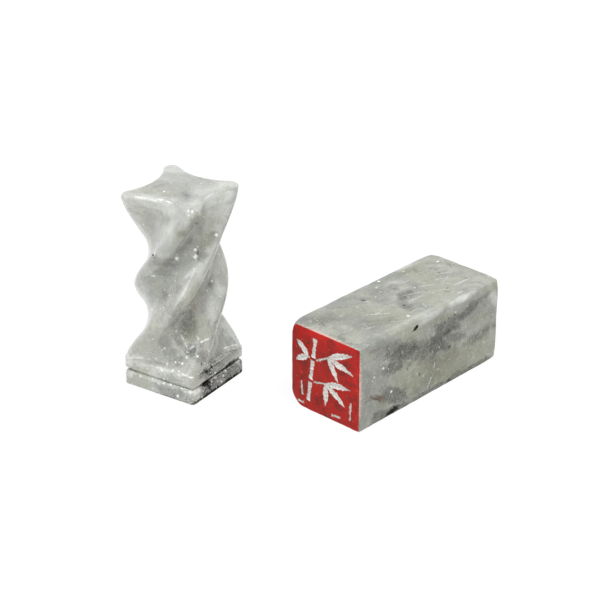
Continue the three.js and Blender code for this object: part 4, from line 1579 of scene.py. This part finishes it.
def cut_strokes(piece, strokes, face_x, sizes, wider, seed):
    """Cuts the strokes out of a piece and gives the cut its second material."""
    for number, stroke in enumerate(strokes):
        bm = bmesh.new()
        stroke_cutter(bm, stroke, face_x, sizes, wider, seed + number)
        bmesh.ops.recalc_face_normals(bm, faces=bm.faces)
        for face in bm.faces:
            face.material_index = 1
        mesh = bpy.data.meshes.new("stroke_cutter")
        bm.to_mesh(mesh)
        bm.free()
        for slot in piece.material_slots:
            mesh.materials.append(slot.material)
        cutter = bpy.data.objects.new("stroke_cutter", mesh)
        bpy.context.scene.collection.objects.link(cutter)
        cut = piece.modifiers.new("stroke", "BOOLEAN")
        cut.object = cutter
        cut.operation = "DIFFERENCE"
        cut.solver = "MANIFOLD"
    bpy.context.view_layer.update()
    evaluated = piece.evaluated_get(bpy.context.evaluated_depsgraph_get())
    carved = bpy.data.meshes.new_from_object(evaluated)
    cutters = [modifier.object for modifier in piece.modifiers]
    piece.modifiers.clear()
    blank = piece.data
    piece.data = carved
    bpy.data.meshes.remove(blank)
    carved.name = piece.name
    for cutter in cutters:
        mesh = cutter.data
        bpy.data.objects.remove(cutter)
        bpy.data.meshes.remove(mesh)
    slivers = 0.002 * MM
    bm = bmesh.new()
    bm.from_mesh(carved)
    bmesh.ops.remove_doubles(bm, verts=bm.verts, dist=slivers)
    shade_smooth(bm)
    bm.to_mesh(carved)
    bm.free()


def spread(t, half):
    """Place on a half length for a share from -1 to 1, with close steps near both ends."""
    dense = 0.16
    size = abs(t)
    if size > 1 - dense:
        from_end = EDGE_ZONE * ((1 - size) / dense) ** 2
        return math.copysign(half - from_end, t)
    return t / (1 - dense) * (half - EDGE_ZONE)


def near_edge(point, half, signs):
    """1 at the edge or corner of a box that the signs name, fading out over 3 mm."""
    fade_start, fade_end = 0.5 * MM, 3 * MM
    share = 1
    for axis, sign in enumerate(signs):
        if sign:
            share *= eased(sign * point[axis], half[axis] - fade_end, half[axis] - fade_start)
    return share


def rounded_block(point, half, sizes):
    """Moves a point of a box onto the stone: its edges are round, some more than others."""
    knock_length = 2.5
    unevenness = noise.noise(point / MM / knock_length)
    radius = sizes.edge_radius * (1 + 0.6 * unevenness)
    soft_edges = (
        ((0, -1, 1), sizes.soft_edge),
        ((1, 1, 0), sizes.far_edge),
        ((1, -1, -1), sizes.far_edge * 0.7),
        ((-1, 1, 0), sizes.left_edge),
        ((-1, 1, 1), sizes.left_corner),
    )
    for signs, soft_radius in soft_edges:
        radius += (soft_radius - sizes.edge_radius) * near_edge(point, half, signs)
    inside = Vector([min(max(point[i], radius - half[i]), half[i] - radius) for i in range(3)])
    beyond = point - inside
    return inside + beyond.normalized() * radius if beyond.length > 0 else point


def round_corner(y, z, half_y, half_z, radius):
    """Moves a place in a rectangle's corner inwards, so that the corner is round."""
    beyond = Vector((abs(y) - (half_y - radius), abs(z) - (half_z - radius)))
    if beyond.x <= 0 or beyond.y <= 0:
        return y, z
    beyond *= max(beyond) / beyond.length
    return math.copysign(half_y - radius + beyond.x, y), math.copysign(half_z - radius + beyond.y, z)


def worn_plane(sizes, end_x):
    """Plane of the worn corner: a point on it and its normal, which points out of the stone."""
    side = STONE_HIGH.y
    along_x = Vector((end_x + sizes.worn_run, side, 0))
    along_y = Vector((end_x, side - sizes.worn_leg, 0))
    along_z = Vector((end_x, side, sizes.worn_leg))
    normal = (along_y - along_x).cross(along_z - along_x).normalized()
    if normal.dot(Vector((end_x, side, 0)) - along_x) < 0:
        normal.negate()
    return along_x, normal


def wear_corner(point, sizes, end_x):
    """Moves a point outside the worn corner's plane back onto it, with a soft change at its rim."""
    on_plane, normal = worn_plane(sizes, end_x)
    distance = normal.dot(point - on_plane)
    if distance > WORN_RIM:
        return point - normal * distance
    if distance > -WORN_RIM:
        return point - normal * (distance + WORN_RIM) ** 2 / (4 * WORN_RIM)
    return point


class SEALS_OT_block_stone(bpy.types.Operator):
    """Grind the block seal and carve its end"""

    bl_idname = "seals.block_stone"
    bl_label = "Block seal"

    def execute(self, context):
        sizes = context.scene.block_seal_sizes
        colours = context.scene.seal_colours
        bm = bmesh.new()
        bmesh.ops.create_cube(bm, size=2)
        bmesh.ops.subdivide_edges(bm, edges=bm.edges, cuts=63, use_grid_fill=True)
        middle = (STONE_LOW + STONE_HIGH) / 2
        half = (STONE_HIGH - STONE_LOW) / 2
        for vertex in bm.verts:
            point = Vector([spread(vertex.co[axis], half[axis]) for axis in range(3)])
            point = rounded_block(point, half, sizes)
            vertex.co = wear_corner(point + middle, sizes, STONE_LOW.x)

        def depth(point):
            wobble = 0.07 * MM
            off_end = eased(point.x, STONE_LOW.x + 0.3 * MM, STONE_LOW.x + 3 * MM)
            off_table = eased(point.z, 0.2 * MM, 1.5 * MM)
            return wobble * off_end * off_table

        rub_by_hand(bm, depth)
        # Marble that was sawn and ground flat, and hardly waxed. That gives a dull, even grey
        # with fine scratches, duller than the twisted seal
        finish = {
            "pale": colours.block_pale,
            "grey": colours.block_grey,
            "roughness": 0.4,
            "veins": 0.5,
            "freckles": 0.35,
            "crystal_share": 0.1,
            "rough_height": 0,
            "rubbing": (0, 0, math.radians(32)),
            "relief": 0.6,
            "glow": 0.08,
            "wax": 0.1,
            "fray": 1.7,
        }
        stone = marble("Ground grey marble", colours, finish, block_marks())
        powder = carved_marble("Carved marble powder", colours, 0.4)
        piece = finish_piece(bm, "block_marble_stone", [stone, powder])
        cut_strokes(piece, carved_strokes(sizes), STONE_LOW.x, sizes, 0, STROKE_SEED)
        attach(piece, "block")
        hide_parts("block_seal")
        return {"FINISHED"}


class SEALS_OT_face_paint(bpy.types.Operator):
    """Brush the red paint on the carved end"""

    bl_idname = "seals.face_paint"
    bl_label = "Face paint"

    def execute(self, context):
        sizes = context.scene.block_seal_sizes
        colours = context.scene.seal_colours
        middle = (STONE_LOW + STONE_HIGH) / 2
        half = (STONE_HIGH - STONE_LOW) / 2
        bm = bmesh.new()
        grid_steps = 96
        rim_waves = 9
        bmesh.ops.create_grid(bm, x_segments=grid_steps, y_segments=grid_steps, size=1)
        for vertex in bm.verts:
            u, v = vertex.co.x, vertex.co.y
            inset = sizes.film_inset * (1 + 0.6 * noise.noise(Vector((u, v, 0)) * rim_waves))
            y = spread(u, half.y - inset)
            z = spread(v, half.z - inset)
            corner = sizes.edge_radius
            if u > 0 and v > 0:
                corner = sizes.left_corner
            y, z = round_corner(y, z, half.y - inset, half.z - inset, corner)
            point = rounded_block(Vector((-half.x, y, z)), half, sizes)
            vertex.co = wear_corner(point + middle, sizes, STONE_LOW.x)
        front = bmesh.ops.extrude_face_region(bm, geom=list(bm.faces))
        lifted = [item for item in front["geom"] if isinstance(item, bmesh.types.BMVert)]
        bmesh.ops.translate(bm, verts=lifted, vec=Vector((FILM_LOW.x - STONE_LOW.x, 0, 0)))
        paint = brushed_seal_paint("Brushed red seal paint", colours)
        # The paint's broken edge gets more maroon, as painted shade along the rims of the strokes
        broken = carved_marble("Broken edge of the paint", colours, 0.6)
        piece = finish_piece(bm, "red_paint_film", [paint, broken])
        # The paint breaks away a little beyond the cut in the stone
        wider = 0.04 * MM
        cut_strokes(piece, carved_strokes(sizes), STONE_LOW.x, sizes, wider, STROKE_SEED)
        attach(piece, "block")
        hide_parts("red_face_paint")
        return {"FINISHED"}


def aim(item, place, target):
    """Puts a lamp or camera at a place and points it at a target."""
    item.location = place
    item.rotation_euler = (target - place).to_track_quat("-Z", "Y").to_euler()


def add_lamp(name, power, width, place, target):
    """A square soft lamp."""
    data = bpy.data.lights.new(name, "AREA")
    data.energy = power
    data.color = linear("#F5F8FF")
    data.size = width
    lamp = bpy.data.objects.new(name, data)
    bpy.context.scene.collection.objects.link(lamp)
    aim(lamp, place, target)


def seen_rays(tree):
    """1 for rays that show the ground and sky themselves: camera, glossy and transmission rays."""
    path = add_node(tree, "ShaderNodeLightPath")
    shiny = add_node(
        tree, "ShaderNodeMath", HIGHEST, {0: path["Is Glossy Ray"], 1: path["Is Transmission Ray"]}
    )[0]
    return add_node(tree, "ShaderNodeMath", HIGHEST, {0: path["Is Camera Ray"], 1: shiny})[0]


def white_card():
    """Pressed white card: matt, so that it shows white and keeps a faint shadow of the seals."""
    material, tree = new_tree("White card floor")
    card = add_node(tree, "ShaderNodeBsdfDiffuse", inputs={"Color": opaque(linear("#F4F4F4"))})[0]
    glow = add_node(
        tree, "ShaderNodeEmission", inputs={"Color": opaque((1, 1, 1)), "Strength": 1.04}
    )[0]
    share = add_node(tree, "ShaderNodeMath", TIMES, {0: seen_rays(tree), 1: 0.88})[0]
    surface = add_node(tree, "ShaderNodeMixShader", inputs={0: share, 1: card, 2: glow})[0]
    add_node(tree, "ShaderNodeOutputMaterial", inputs={"Surface": surface})
    return material


class SEALS_OT_stage(bpy.types.Operator):
    """Set the floor, the light and the camera"""

    bl_idname = "seals.stage"
    bl_label = "Stage"

    def execute(self, context):
        scene = context.scene
        studio = scene.seal_studio
        floor_half_width = 3
        below_table = 0.02 * MM
        bm = bmesh.new()
        bmesh.ops.create_grid(bm, x_segments=1, y_segments=1, size=floor_half_width)
        bmesh.ops.translate(bm, verts=bm.verts, vec=Vector((0, 0, -below_table)))
        finish_piece(bm, "floor", [white_card()])

        world = bpy.data.worlds.new("Soft white tent")
        world.use_nodes = True
        tree = world.node_tree
        tree.nodes.clear()
        fill = opaque(channel * studio.fill_strength for channel in linear("#FFFFF3"))
        seen = seen_rays(tree)
        tint = add_node(
            tree, "ShaderNodeMix", MIX_COLOURS, {SHARE: seen, BELOW: fill, ABOVE: opaque((1, 1, 1))}
        )[MIXED]
        sky = add_node(tree, "ShaderNodeBackground", inputs={"Color": tint, "Strength": 1.0})[0]
        add_node(tree, "ShaderNodeOutputWorld", inputs={"Surface": sky})
        scene.world = world

        # Each lamp's name, power, and its width and place in metres
        lamps = (
            ("key", studio.key_power, 0.3, (-0.12, -0.26, 0.8)),
            ("edge", studio.edge_power, 0.1, (-0.36, 0.29, 0.81)),
            ("rim", studio.rim_power, 0.08, (-0.4, 0.41, 0.68)),
            ("left", studio.side_power, 0.3, (-0.84, -0.08, 0.33)),
            ("right", studio.side_power, 0.3, (0.74, -0.24, 0.48)),
        )
        middle = Vector((0, 0, 20 * MM))
        for name, watts, width, place in lamps:
            add_lamp(name, watts, width, Vector(place), middle)

        # The camera stands and looks where it was fitted to the photograph's corners
        block_middle = Vector((
            (FILM_LOW.x + STONE_HIGH.x) / 2, (STONE_LOW.y + STONE_HIGH.y) / 2, 0
        ))
        stand = block_middle + Vector((-326.3, -273.7, 236.2)) * MM
        target = block_middle + Vector((15.16, 45.64, 0)) * MM
        data = bpy.data.cameras.new("photo_camera")
        data.lens = studio.lens
        data.sensor_width = 36
        camera = bpy.data.objects.new("photo_camera", data)
        scene.collection.objects.link(camera)
        aim(camera, stand, target)
        scene.camera = camera
        scene.view_settings.view_transform = "Standard"
        return {"FINISHED"}


class SEALS_PT_panel(bpy.types.Panel):
    """Lists the pieces of the seals"""

    bl_idname = "SEALS_PT_panel"
    bl_label = "Seal Stamps"
    bl_space_type = "VIEW_3D"
    bl_region_type = "UI"
    bl_category = "Seal Stamps"

    def draw(self, context):
        for operator in OPERATORS:
            self.layout.operator(operator.bl_idname)
        for name, group in GROUPS.items():
            box = self.layout.box()
            box.label(text=group.__doc__)
            for key in group.__annotations__:
                box.prop(getattr(context.scene, name), key)


OPERATORS = (SEALS_OT_twisted_stone, SEALS_OT_block_stone, SEALS_OT_face_paint, SEALS_OT_stage)
GROUPS = {
    "twisted_seal_sizes": TwistedSealSizes,
    "block_seal_sizes": BlockSealSizes,
    "seal_colours": SealColours,
    "seal_studio": StudioSettings,
}
CLASSES = (*GROUPS.values(), *OPERATORS, SEALS_PT_panel)


def register():
    for each in CLASSES:
        bpy.utils.register_class(each)
    for name, group in GROUPS.items():
        setattr(bpy.types.Scene, name, PointerProperty(type=group))


def unregister():
    for name in GROUPS:
        delattr(bpy.types.Scene, name)
    for each in reversed(CLASSES):
        bpy.utils.unregister_class(each)


def main():
    register()
    bpy.ops.seals.twisted_stone()
    bpy.ops.seals.block_stone()
    bpy.ops.seals.face_paint()
    bpy.ops.seals.stage()


if __name__ == "__main__":
    main()
